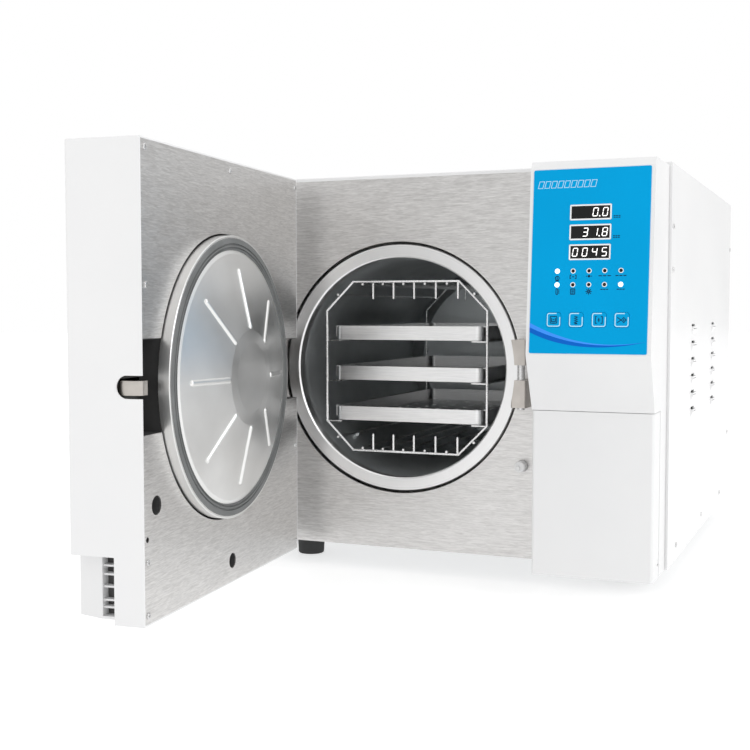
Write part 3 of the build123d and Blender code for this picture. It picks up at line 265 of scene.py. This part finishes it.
LOOKS = {
    "white_enamel": enamel(),
    "white_plastic": moulded("white_plastic", (0.755, 0.757, 0.762), (0.785, 0.785, 0.785), 0.38),
    "brushed_stainless": brushed("brushed_stainless", (0.56, 0.55, 0.54), (0.76, 0.75, 0.74), 0.36),
    "polished_stainless": turned_steel("polished_stainless", grey(0.80), grey(0.90), 0.32,
                                       CHAMBER_CENTRE, Y_AXIS),
    "pressed_stainless": satin_steel("pressed_stainless", (0.76, 0.76, 0.75), (0.86, 0.86, 0.85), 0.36),
    "chamber_stainless": satin_steel("chamber_stainless", (0.74, 0.77, 0.78), (0.86, 0.89, 0.90), 0.46),
    "rack_wire": plated("rack_wire", grey(0.80), grey(0.92), 0.24),
    "tray_sheet": brushed("tray_sheet", grey(0.82), grey(0.92), 0.34, (30, 30, 700)),
    "nickel": plated("nickel", (0.46, 0.43, 0.40), (0.58, 0.545, 0.51), 0.34),
    "bright_steel": plated("bright_steel", grey(0.60), grey(0.74), 0.25),
    "galvanised": galvanised(),
    "black_rubber": rubber("black_rubber", grey(0.022), grey(0.042), 0.72),
    "silicone_seal": rubber("silicone_seal", (0.125, 0.13, 0.13), (0.175, 0.18, 0.18), 0.55),
    "lagging": woven("lagging", (0.50, 0.49, 0.45), (0.78, 0.77, 0.72)),
    "brass": plated("brass", (0.60, 0.42, 0.16), (0.78, 0.58, 0.27), 0.30),
    "copper": plated("copper", (0.62, 0.30, 0.18), (0.80, 0.44, 0.29), 0.28),
    "fins": plated("fins", grey(0.62), grey(0.76), 0.35),
    "black_plastic": moulded("black_plastic", grey(0.018), grey(0.034), 0.42),
    "grey_plastic": moulded("grey_plastic", grey(0.09), grey(0.13), 0.45),
    "tank_plastic": moulded("tank_plastic", (0.72, 0.73, 0.70), (0.82, 0.83, 0.80), 0.4),
    "label_film": film("label_film", *PANEL_BLUE, specular=0.05),
    "display_glass": film("display_glass", grey(0.008), grey(0.014), 0.18, 0.22),
    "lamp_lens": film("lamp_lens", (0.010, 0.005, 0.004), (0.020, 0.007, 0.006), 0.2, 0.15),
    "key_film": film("key_film", *PANEL_BLUE, specular=0.05),
    "circuit_board": moulded("circuit_board", (0.01, 0.12, 0.05), (0.02, 0.18, 0.08), 0.35),
    "filter_blue": moulded("filter_blue", (0.55, 0.66, 0.76), (0.68, 0.77, 0.85), 0.3),
}
INKS = {
    "white_ink": film("white_ink", grey(0.84), grey(0.90)),
    "pale_ink": film("pale_ink", (0.46, 0.72, 0.90), (0.52, 0.78, 0.94)),
    "dark_ink": film("dark_ink", (0.002, 0.016, 0.050), (0.004, 0.024, 0.070)),
    "swoosh_light": film("swoosh_light", (0.045, 0.27, 0.88), (0.055, 0.30, 0.93)),
    "swoosh_dark": film("swoosh_dark", (0.0, 0.11, 0.52), (0.0, 0.125, 0.57)),
    # painted shade: a near-black look for the plates and cups set in the door's hollows, where there is
    # only shade
    "painted_shade_liner": moulded("painted_shade_liner", grey(0.055), grey(0.080), 0.5),
    "lit_segment": glowing("lit_segment", (1.0, 0.98, 0.96)),
    "lit_lens": glowing("lit_lens", (1.0, 1.0, 1.0)),
}


def dress_nodes():
    """Gives every carried-over node the look of its material slot."""
    for subpart in RECORD["subparts"]:
        mesh = NODES[subpart["node"]].data
        mesh.materials.clear()
        mesh.materials.append(LOOKS[subpart["material_slot"]].material)


# ---------------------------------------------------------------- pieces

def finish_piece(name, bm, look, body, smooth_angle=35.0):
    """Turns a bmesh into a piece that rides on a body."""
    bmesh.ops.recalc_face_normals(bm, faces=bm.faces)
    mesh = bpy.data.meshes.new(name)
    bm.to_mesh(mesh)
    bm.free()
    mesh.shade_smooth()
    mesh.set_sharp_from_angle(angle=math.radians(smooth_angle))
    mesh.materials.append(look.material)
    piece = bpy.data.objects.new(name, mesh)
    bpy.context.scene.collection.objects.link(piece)
    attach(piece, body)


def islands(node):
    """The boxes of a node's separate solids, as (lowest corner, highest corner)."""
    bm = bmesh.new()
    bm.from_mesh(NODES[node].data)
    bmesh.ops.remove_doubles(bm, verts=bm.verts, dist=0.00001)
    seen = set()
    boxes = []
    for start in bm.verts:
        if start in seen:
            continue
        seen.add(start)
        stack, group = [start], []
        while stack:
            vert = stack.pop()
            group.append(vert.co)
            for edge in vert.link_edges:
                other = edge.other_vert(vert)
                if other not in seen:
                    seen.add(other)
                    stack.append(other)
        low = Vector([min(co[i] for co in group) for i in range(3)])
        high = Vector([max(co[i] for co in group) for i in range(3)])
        boxes.append((low, high))
    bm.free()
    return boxes


# ---------------------------------------------------------------- control panel

LABEL_THICKNESS = 0.5 * MM
PANEL_IN = Vector(JOINTS["key_1_press"]["axis"]).normalized()
PANEL_OUT = -PANEL_IN
PANEL_UP = PANEL_OUT.cross(X_AXIS)
LABEL_LOW, LABEL_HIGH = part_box("label_overlay")
LABEL_CORNER = Vector((
    LABEL_LOW.x,
    LABEL_HIGH.y + PANEL_OUT.y * LABEL_THICKNESS,
    LABEL_HIGH.z,
))
LABEL_WIDTH = (LABEL_HIGH.x - LABEL_LOW.x) / MM


def on_label(across, down, height):
    """A point on the label from millimetres across, down and proud of its face."""
    return LABEL_CORNER + MM * (across * X_AXIS - down * PANEL_UP + height * PANEL_OUT)


def label_place(point):
    """Millimetres across and down the label of a point."""
    offset = (point - LABEL_CORNER) / MM
    return offset.dot(X_AXIS), -offset.dot(PANEL_UP)


def arc(across, down, radius, start=0.0, end=360.0, steps=24):
    """Points on an arc; 0 degrees points right and 90 degrees points up."""
    angles = [math.radians(start + (end - start) * step / steps) for step in range(steps + 1)]
    if abs(end - start) >= 360:
        angles = angles[:-1]
    return [(across + radius * math.cos(a), down - radius * math.sin(a)) for a in angles]


def rounded_box(across, down, width, height, radius):
    """The outline of a box about a centre, with rounded corners."""
    x, y = width / 2 - radius, height / 2 - radius
    points = []
    for cx, cy, start in ((x, -y, 0), (-x, -y, 90), (-x, y, 180), (x, y, 270)):
        points += arc(across + cx, down + cy, radius, start, start + 90, 5)
    return points


def bezier(p0, p1, p2, p3, steps=24):
    points = []
    for step in range(steps + 1):
        t = step / steps
        s = 1 - t
        weights = (s ** 3, 3 * s * s * t, 3 * s * t * t, t ** 3)
        points.append(tuple(sum(w * p[i] for w, p in zip(weights, (p0, p1, p2, p3))) for i in (0, 1)))
    return points


class Print:
    """Flat shapes on the label, each a thin closed plate standing between two heights."""

    def __init__(self, low, high):
        self.bm = bmesh.new()
        self.low, self.high = low, high

    def corners(self, point):
        return [self.bm.verts.new(on_label(*point, height)) for height in (self.low, self.high)]

    def patch(self, outline):
        pairs = [self.corners(point) for point in outline]
        self.bm.faces.new([pair[1] for pair in pairs])
        self.bm.faces.new([pair[0] for pair in reversed(pairs)])
        for here, there in zip(pairs, pairs[1:] + pairs[:1]):
            self.bm.faces.new((here[0], there[0], there[1], here[1]))

    def stroke(self, path, width, closed=False):
        """A line of one width along a path."""
        stations = []
        count = len(path)
        for index, point in enumerate(path):
            before = path[index - 1] if closed or index else point
            after = path[(index + 1) % count] if closed or index < count - 1 else point
            along_in = Vector(point) - Vector(before)
            along_out = Vector(after) - Vector(point)
            along = (along_in.normalized() + along_out.normalized()).normalized()
            side = Vector((-along.y, along.x))
            straight = along_out if along_out.length else along_in
            reach = width / 2 / max(0.4, abs(along.dot(straight.normalized())))
            left = Vector(point) + side * reach
            right = Vector(point) - side * reach
            stations.append(self.corners(left) + self.corners(right))
        following = stations[1:] + (stations[:1] if closed else [])
        for a, b in zip(stations, following):
            for i, j in ((0, 1), (1, 3), (3, 2), (2, 0)):
                self.bm.faces.new((a[i], a[j], b[j], b[i]))
        if not closed:
            for station in (stations[0], stations[-1]):
                self.bm.faces.new([station[i] for i in (0, 1, 3, 2)])

    def make(self, name, ink, body="cabinet"):
        finish_piece(name, self.bm, INKS[ink], body)


WINDOWS = sorted((label_place((low + high) / 2) for low, high in islands("display_windows")),
                 key=lambda place: place[1])
LAMPS = sorted((label_place((low + high) / 2) for low, high in islands("indicator_lamps")),
               key=lambda place: (round(place[1]), place[0]))
WINDOW_WIDTH, WINDOW_HEIGHT = 40.6, 15.2
WINDOW_BORDER = 1.4

# Heights of the prints over the label's face, in millimetres; each one starts just under it.
SUNK = -0.05
SWOOSH_TOP, INK_TOP, BORDER_TOP, RING_TOP = 0.05, 0.06, 0.16, 0.42


def swoosh():
    """Two blue bands that sweep across the foot of the label to a shared tip."""
    tip = (LABEL_WIDTH, 168.3)
    upper = bezier((0, 150.5), (33, 168.0), (70, 176.3), tip)
    centre = bezier((0, 155.1), (35, 171.0), (72, 176.6), tip)
    lower = bezier((0, 159.8), (30, 175.0), (72, 178.6), tip)
    for name, ink, top, bottom in (("label_swoosh_light", "swoosh_light", upper, centre),
                                   ("label_swoosh_dark", "swoosh_dark", centre, lower)):
        band = Print(SUNK, SWOOSH_TOP)
        band.patch(top + bottom[-2::-1])
        band.make(name, ink)


def title_bars():
    """A row of slanted open blocks in place of a name."""
    bars = Print(SUNK, INK_TOP)
    first, top, height, width, slant, pitch = 4.6, 11.5, 6.6, 4.6, 1.6, 6.5
    for step in range(9):
        left = first + step * pitch
        outline = [(left + slant, top), (left + slant + width, top),
                   (left + width, top + height), (left, top + height)]
        bars.stroke(outline, 0.55, closed=True)
    bars.make("label_title_blocks", "pale_ink")


def window_borders():
    borders = Print(SUNK, BORDER_TOP)
    width, height = WINDOW_WIDTH - WINDOW_BORDER, WINDOW_HEIGHT - WINDOW_BORDER
    for across, down in WINDOWS:
        borders.stroke(rounded_box(across, down, width, height, 0.3), WINDOW_BORDER, closed=True)
    borders.make("display_borders", "white_ink")


# The lit bars of each digit: a is the top one, b to f follow clockwise, g is the middle one.
SEGMENTS = {
    "0": "abcdef", "1": "bc", "3": "abgcd", "4": "fgbc", "5": "afgcd", "8": "abcdefg", " ": "",
}
DIGIT_WIDTH, DIGIT_HEIGHT, DIGIT_PITCH = 4.4, 7.8, 9.5
DIGIT_STROKE, DIGIT_LEAN = 0.78, 0.14
SEGMENT_GAP, POINT_RADIUS = 0.16, 0.65
LIT_HEIGHTS = 0.1, 0.18


def segment(shape, start, end, centre):
    """One bar of a digit, pointed at both ends and leaning with the digit."""
    start, end = Vector(start), Vector(end)
    along = (end - start).normalized()
    side = Vector((-along.y, along.x)) * DIGIT_STROKE / 2
    tip = along * DIGIT_STROKE / 2
    gap = along * SEGMENT_GAP
    outline = [start + gap, start + gap + tip + side, end - gap - tip + side,
               end - gap, end - gap - tip - side, start + gap + tip - side]
    shape.patch([(centre[0] + p.x - DIGIT_LEAN * p.y, centre[1] + p.y) for p in outline])


def digits():
    """Four places in each window, lit as plain numbers."""
    lit = Print(*LIT_HEIGHTS)
    w, h = DIGIT_WIDTH / 2, DIGIT_HEIGHT / 2
    ends = {
        "a": ((-w, -h), (w, -h)), "b": ((w, -h), (w, 0)), "c": ((w, 0), (w, h)),
        "d": ((-w, h), (w, h)), "e": ((-w, 0), (-w, h)), "f": ((-w, -h), (-w, 0)), "g": ((-w, 0), (w, 0)),
    }
    shown = (("  00", 2), (" 318", 2), ("0045", None))
    for (across, down), (text, point_after) in zip(WINDOWS, shown):
        for place, character in enumerate(text):
            centre = (across + (place - 1.5) * DIGIT_PITCH, down)
            for name in SEGMENTS[character]:
                segment(lit, *ends[name], centre)
            if place == point_after:
                dot = (centre[0] + DIGIT_PITCH / 2 - 0.7, centre[1] + h)
                lit.patch(arc(*dot, POINT_RADIUS, steps=12))
    lit.make("display_digits", "lit_segment")


LAMP_RING, LAMP_HOLE = 2.45, 1.75
LIT_LAMPS = (0, 5, 9)
LENS_FOOT = 0.1
LENS_DOME = ((0.0, 1.0), (0.5, 0.98), (0.72, 0.8), (0.85, 0.5))      # lift, share of the radius


def lamps():
    """A white ring round each lamp, and a bright domed lens on the lit ones."""
    rings = Print(SUNK, RING_TOP)
    for across, down in LAMPS:
        rings.stroke(arc(across, down, (LAMP_RING + LAMP_HOLE) / 2), LAMP_RING - LAMP_HOLE, closed=True)
    rings.make("lamp_rings", "white_ink")
    for index in LIT_LAMPS:
        bm = bmesh.new()
        rows = []
        for lift, share in LENS_DOME:
            circle = arc(*LAMPS[index], LAMP_RING * share)
            rows.append([bm.verts.new(on_label(*point, LENS_FOOT + lift)) for point in circle])
        for low_row, high_row in zip(rows, rows[1:]):
            for i in range(len(low_row)):
                j = (i + 1) % len(low_row)
                bm.faces.new((low_row[i], low_row[j], high_row[j], high_row[i]))
        bm.faces.new(rows[-1])
        bm.faces.new(rows[0][::-1])
        finish_piece(f"lit_lens_{index + 1}", bm, INKS["lit_lens"], "cabinet", 60)


SIGN_LINE, DASH_LINE = 0.78, 0.85


def dashes(shape, across, down, width, rows=1):
    """Three short bars in place of a word, with a gap of 0.3 of a bar between them."""
    part = width / 3.6
    for row in range(rows):
        for step in range(3):
            left = across - width / 2 + step * 1.3 * part
            y = down + row * 1.6
            shape.stroke([(left, y), (left + part, y)], DASH_LINE)


def bracket(shape, x, y, half, lip, side):
    """One square bracket of a pair; side is -1 for the left one and 1 for the right one."""
    shape.stroke([(x - side * lip, y - half), (x, y - half), (x, y + half), (x - side * lip, y + half)],
                 SIGN_LINE)


def lamp_signs():
    """Small signs under the lamps: a clock, brackets, a dot, a tube with marks, a sheet and a star."""
    signs = Print(SUNK, INK_TOP)
    xs = [place[0] for place in LAMPS[:5]]
    first, second = LAMPS[0][1], LAMPS[5][1]
    y = first + 6.9
    signs.stroke(arc(xs[0], y, 1.9), SIGN_LINE, closed=True)
    signs.stroke([(xs[0] - 1.9, y + 2.6), (xs[0] + 1.9, y + 2.6)], SIGN_LINE)
    signs.stroke([(xs[0], y - 1.0), (xs[0], y + 1.0)], SIGN_LINE)
    y = first + 5.6
    for side in (-1, 1):
        bracket(signs, xs[1] + side * 3.0, y, 1.6, 1.2, side)
    signs.stroke([(xs[1] - 1.1, y), (xs[1] + 1.1, y)], SIGN_LINE)
    y = first + 5.2
    signs.patch(arc(xs[2], y, 1.25, steps=16))
    for side in (-1, 1):
        signs.stroke([(xs[2] + side * 1.8, y), (xs[2] + side * 2.9, y)], SIGN_LINE)
    for x, width in ((xs[3], 12.0), (xs[4], 10.5)):
        dashes(signs, x, first + 4.9, width)
    y = second + 6.6
    signs.stroke(rounded_box(xs[0], y, 1.8, 5.6, 0.8), SIGN_LINE, closed=True)
    for step in range(3):
        mark = y - 1.6 + 1.5 * step
        signs.stroke([(xs[0] + 1.6, mark), (xs[0] + 2.5, mark)], SIGN_LINE)
    signs.stroke(rounded_box(xs[1], y, 4.2, 5.2, 0.4), SIGN_LINE, closed=True)
    for step in range(3):
        line = y - 1.4 + 1.4 * step
        signs.stroke([(xs[1] - 1.2, line), (xs[1] + 1.2, line)], SIGN_LINE)
    inner, outer = 0.4, 3.1
    for step in range(8):
        a = math.radians(45 * step)
        signs.stroke([(xs[2] + inner * math.cos(a), y + inner * math.sin(a)),
                      (xs[2] + outer * math.cos(a), y + outer * math.sin(a))], SIGN_LINE)
    for x in xs[3:]:
        dashes(signs, x, second + 4.6, 7.5)
    for across, down in WINDOWS[:2]:
        dashes(signs, across + WINDOW_WIDTH / 2 + 5.2, down + 4.2, 6.5, 2)
    signs.make("lamp_signs", "dark_ink")


KEY_LINE, KEY_INSET, KEY_ROUND, KEY_OPEN = 0.9, 0.8, 1.9, 3.4
ARROW_LINE = 0.75


def key_sign(number, signs, x, y):
    """The sign on one key: a sheet, a zigzag, brackets with a cross, or an arrowhead with a diamond."""
    if number == 1:
        signs.stroke(rounded_box(x, y, 6.6, 6.6, SIGN_LINE), SIGN_LINE, closed=True)
        signs.stroke([(x - 1.9, y - 1.7), (x - 1.9, y + 1.8), (x + 1.9, y + 1.8), (x + 1.9, y - 1.7)],
                     SIGN_LINE)
        signs.stroke([(x - 0.9, y - 0.2), (x + 0.9, y - 0.2)], SIGN_LINE)
    elif number == 2:
        zigzag = [(x + (1.5 if step % 2 else -1.5), y - 3.6 + 1.03 * step) for step in range(8)]
        signs.stroke(zigzag, SIGN_LINE)
        signs.stroke([(x - 1.5, y + 3.9), (x + 1.5, y + 3.9)], SIGN_LINE)
    elif number == 3:
        for side in (-1, 1):
            bracket(signs, x + side * 3.4, y, 3.2, 1.6, side)
        signs.stroke([(x, y - 1.9), (x, y + 1.9)], SIGN_LINE)
        signs.stroke([(x - 1.3, y), (x + 1.3, y)], SIGN_LINE)
    else:
        signs.stroke([(x - 4.2, y - 2.6), (x - 0.6, y), (x - 4.2, y + 2.6)], ARROW_LINE)
        diamond = [(x - 0.4, y), (x + 2.0, y - 2.4), (x + 4.4, y), (x + 2.0, y + 2.4)]
        signs.stroke(diamond, ARROW_LINE, closed=True)
        signs.patch(arc(x + 2.0, y, 0.7, steps=12))


def key_prints():
    """The open outline and the sign on each key's cap."""
    for number in (1, 2, 3, 4):
        body = f"key_{number}"
        crown = max((vert.co - LABEL_CORNER).dot(PANEL_OUT) for vert in NODES[body].data.vertices) / MM
        top = [label_place(vert.co) for vert in NODES[body].data.vertices
               if (vert.co - LABEL_CORNER).dot(PANEL_OUT) / MM > crown - 0.05]
        x = (min(p[0] for p in top) + max(p[0] for p in top)) / 2
        y = (min(p[1] for p in top) + max(p[1] for p in top)) / 2
        size = max(p[0] for p in top) - min(p[0] for p in top) - 2 * KEY_INSET
        heights = crown - 0.02, crown + 0.06
        outline = Print(*heights)
        half = size / 2
        bend = half - KEY_ROUND
        path = [(x + half, y - half + KEY_OPEN)]
        path += arc(x + bend, y + bend, KEY_ROUND, 0, -90, 5)
        path += arc(x - bend, y + bend, KEY_ROUND, -90, -180, 5)
        path += arc(x - bend, y - bend, KEY_ROUND, 180, 90, 5)
        path += [(x + half - KEY_OPEN, y - half)]
        outline.stroke(path, KEY_LINE)
        outline.make(f"key_{number}_outline", "pale_ink", body)
        signs = Print(*heights)
        key_sign(number, signs, x, y)
        signs.make(f"key_{number}_sign", "dark_ink", body)


# ---------------------------------------------------------------- painted shade in the door: dark liners

# Door places are (u, t, z): u from the hinge edge, t from the inner face outwards, in millimetres.
HINGE = Vector(JOINTS["door_hinge"]["pos_m"])
OPEN_ANGLE = math.radians(JOINTS["door_hinge"]["range_deg"][1])
OPENED = (Matrix.Translation(HINGE) @ Matrix.Rotation(-OPEN_ANGLE, 4, "Z")
          @ Matrix.Translation(-HINGE))
MID = CHAMBER_CENTRE.z / MM


def door_corner():
    """The hinge edge and the inner face of the closed door."""
    closed = OPENED.inverted()
    places = [closed @ vert.co for vert in NODES["door_cover"].data.vertices]
    return min(place.x for place in places), max(place.y for place in places)


DOOR_LEFT, DOOR_INNER = door_corner()


def in_door(u, t, z):
    return OPENED @ Vector((DOOR_LEFT + u * MM, DOOR_INNER - t * MM, z * MM))


def painted_shade_plates(name, boxes):
    """Thin dark plates in the door that paint shade into its hollows, each a box from three (low, high)
    pairs.
    """
    bm = bmesh.new()
    for u, t, z in boxes:
        corners = [bm.verts.new(in_door(a, b, c)) for a in u for b in t for c in z]
        for quad in ((0, 1, 3, 2), (4, 6, 7, 5), (0, 4, 5, 1), (2, 3, 7, 6), (0, 2, 6, 4), (1, 5, 7, 3)):
            bm.faces.new([corners[index] for index in quad])
    finish_piece(name, bm, INKS["painted_shade_liner"], "door")


def painted_shade_cup(name, u, z, radius, depth):
    """A dark cup behind a round hole of the inner plate that paints the shade in the hole, with a small
    hole left in its floor.
    """
    bm = bmesh.new()
    front, wall, steps = 1.3, 0.6, 32
    profile = ((radius, front), (radius, depth), (radius * 0.1, depth), (radius * 0.1, depth + wall),
               (radius + wall, depth + wall), (radius + wall, front))
    rows = []
    for reach, t in profile:
        angles = [math.tau * step / steps for step in range(steps)]
        rows.append([bm.verts.new(in_door(u + reach * math.cos(a), t, z + reach * math.sin(a)))
                     for a in angles])
    for row, following in zip(rows, rows[1:] + rows[:1]):
        for i in range(steps):
            j = (i + 1) % steps
            bm.faces.new((row[i], row[j], following[j], following[i]))
    finish_piece(name, bm, INKS["painted_shade_liner"], "door")


# Heights here are from the middle of the chamber. The slots are the gaps that the hook and the yoke pass.
BEHIND_PLATE = 1.4
POCKET_U, POCKET_BACK, POCKET_SIDE, POCKET_EDGE = (324.6, 358.4), 22.8, 323.4, 358.3
POCKET_LOW, POCKET_HIGH = -41.1, 40.4
HOOK_SLOT_LOW, HOOK_SLOT_HIGH, HOOK_EDGE_HALF = -8.6, 6.8, 10.3
NOTCH_U, NOTCH_BACK, NOTCH_HALF = 41.4, 69.9, 33.1
YOKE_SLOT_HALF, YOKE_SLOT_T = 10.6, 50.8


def about_mid(low, high):
    return MID + low, MID + high


def pocket_plates():
    """Painted shade in the latch pocket, as dark plates: two back plates, a top, a bottom, the disc's
    side and the free edge.
    """
    depth = (BEHIND_PLATE, POCKET_BACK)
    boxes = []
    for low, high in ((HOOK_SLOT_HIGH, POCKET_HIGH), (POCKET_LOW, HOOK_SLOT_LOW)):
        boxes.append((POCKET_U, (POCKET_BACK, POCKET_BACK + 0.8), about_mid(low, high)))
    for low, high in ((POCKET_HIGH - 0.2, POCKET_HIGH + 0.4), (POCKET_LOW - 0.4, POCKET_LOW + 0.2)):
        boxes.append((POCKET_U, depth, about_mid(low, high)))
    boxes.append(((POCKET_SIDE, POCKET_SIDE + 0.6), depth, about_mid(POCKET_LOW, POCKET_HIGH)))
    for low, high in ((HOOK_EDGE_HALF, POCKET_HIGH), (POCKET_LOW, -HOOK_EDGE_HALF)):
        boxes.append(((POCKET_EDGE, POCKET_EDGE + 0.5), depth, about_mid(low, high)))
    return boxes


def notch_plates():
    """Painted shade in the hinge notch, as dark plates: a back, a top, a bottom, and a side with a slot
    for the yoke.
    """
    boxes = [((0.8, NOTCH_U), (NOTCH_BACK, NOTCH_BACK + 0.5), about_mid(-NOTCH_HALF, NOTCH_HALF))]
    for low, high in ((NOTCH_HALF + 0.05, NOTCH_HALF + 0.35), (-NOTCH_HALF - 0.35, -NOTCH_HALF - 0.05)):
        boxes.append(((1.6, NOTCH_U), (BEHIND_PLATE, NOTCH_BACK + 0.3), about_mid(low, high)))
    side = (NOTCH_U - 0.2, NOTCH_U + 0.4)
    for low, high in ((YOKE_SLOT_HALF, NOTCH_HALF), (-NOTCH_HALF, -YOKE_SLOT_HALF)):
        boxes.append((side, (BEHIND_PLATE, NOTCH_BACK), about_mid(low, high)))
    boxes.append((side, (BEHIND_PLATE, YOKE_SLOT_T), about_mid(-YOKE_SLOT_HALF, YOKE_SLOT_HALF)))
    return boxes


def door_painted_shade_liners():
    # painted shade: dark plates in the latch pocket and the hinge notch, where the door's inside lies in
    # shade
    painted_shade_plates("latch_pocket_painted_shade_liner", pocket_plates())
    painted_shade_plates("hinge_notch_painted_shade_liner", notch_plates())
    # painted shade: dark plates in the grip's finger channel
    grip_height = (31.8, 83.2)
    painted_shade_plates("grip_channel_painted_shade_liner", [((333.15, 333.6), (30.5, 38.4), grip_height),
                                       ((342.15, 342.6), (38.8, 44.8), grip_height)])
    # painted shade: dark cups behind three holes of the inner plate
    painted_shade_cup("switch_hole_cup", 337.2, 128.0, 8.6, 11.0)
    painted_shade_cup("small_hole_cup", 353.8, 100.7, 2.6, 5.0)
    painted_shade_cup("round_hole_cup", 181.8, 48.3, 7.6, 9.0)


# ---------------------------------------------------------------- camera, floor and light

CAMERA_PLACE = (0.4341, -1.5031, 0.2967)
CAMERA_DOWN, CAMERA_LEFT, CAMERA_ROLL = 3.184, 22.655, 0.018
CAMERA_LENS = 56.806


def camera():
    data = bpy.data.cameras.new("camera")
    data.lens = CAMERA_LENS
    data.sensor_width = 36.0
    data.clip_end = 60.0
    eye = bpy.data.objects.new("camera", data)
    eye.location = CAMERA_PLACE
    eye.rotation_euler = [math.radians(a) for a in (90 - CAMERA_DOWN, CAMERA_ROLL, CAMERA_LEFT)]
    bpy.context.scene.collection.objects.link(eye)
    bpy.context.scene.camera = eye


FLOOR_RADIUS = 14.0


def floor():
    """A pale floor that glows a little, so that it meets the white background without an edge."""
    bm = bmesh.new()
    bmesh.ops.create_circle(bm, cap_ends=True, radius=FLOOR_RADIUS, segments=96)
    mesh = bpy.data.meshes.new("floor")
    bm.to_mesh(mesh)
    bm.free()
    look = Look("floor", grey(0.55), 0.6, Specular_IOR_Level=0.1, Emission_Strength=0.62)
    look.shader.inputs["Emission Color"].default_value = (1.0, 1.0, 1.0, 1.0)
    look.shades(look.noise((2, 2, 2)), grey(0.545), grey(0.555))
    mesh.materials.append(look.material)
    ground = bpy.data.objects.new("floor", mesh)
    bpy.context.scene.collection.objects.link(ground)


SOFTBOXES = (                         # name, place, size in metres, watts
    ("key_light", (-1.6, -2.6, 2.3), (1.8, 1.8), 7),
    ("fill_light", (2.6, -1.0, 1.6), (1.6, 1.8), 22),
    ("top_light", (0.0, 0.3, 2.8), (2.2, 2.2), 8),
)
LIGHT_AIM = Vector((0, -0.1, 0.25))


def softbox(name, place, size, power):
    data = bpy.data.lights.new(name, "AREA")
    data.shape = "RECTANGLE"
    data.size, data.size_y = size
    data.energy = power
    lamp = bpy.data.objects.new(name, data)
    lamp.location = place
    lamp.rotation_euler = (LIGHT_AIM - Vector(place)).to_track_quat("-Z", "Y").to_euler()
    bpy.context.scene.collection.objects.link(lamp)


HORIZON_SHADE, OVERHEAD_SHADE, OVERHEAD_FROM = 0.72, 0.95, 0.8


def world():
    """White to the camera; to reflections a pale sky, darker at the horizon than overhead."""
    sky = bpy.data.worlds.new("studio")
    bpy.context.scene.world = sky
    sky.use_nodes = True
    tree = sky.node_tree
    background = tree.nodes["Background"]
    coords = tree.nodes.new("ShaderNodeTexCoord")
    height = tree.nodes.new("ShaderNodeSeparateXYZ")
    ramp = tree.nodes.new("ShaderNodeValToRGB")
    stops = ((0.0, HORIZON_SHADE), (OVERHEAD_FROM, OVERHEAD_SHADE))
    for element, (place, shade) in zip(ramp.color_ramp.elements, stops):
        element.position = place
        element.color = (*grey(shade), 1)
    tree.links.new(coords.outputs["Generated"], height.inputs[0])
    tree.links.new(height.outputs["Z"], ramp.inputs["Fac"])
    plain = tree.nodes.new("ShaderNodeBackground")
    plain.inputs["Color"].default_value = (1, 1, 1, 1)
    plain.inputs["Strength"].default_value = 1.0
    rays = tree.nodes.new("ShaderNodeLightPath")
    choose = tree.nodes.new("ShaderNodeMixShader")
    tree.links.new(ramp.outputs["Color"], background.inputs["Color"])
    tree.links.new(rays.outputs["Is Camera Ray"], choose.inputs[0])
    tree.links.new(background.outputs[0], choose.inputs[1])
    tree.links.new(plain.outputs[0], choose.inputs[2])
    tree.links.new(choose.outputs[0], tree.nodes["World Output"].inputs["Surface"])


def studio():
    camera()
    floor()
    for box in SOFTBOXES:
        softbox(*box)
    world()
    bpy.context.scene.view_settings.view_transform = "Standard"


studio()
dress_nodes()
swoosh()
title_bars()
window_borders()
digits()
lamps()
lamp_signs()
key_prints()
door_painted_shade_liners()
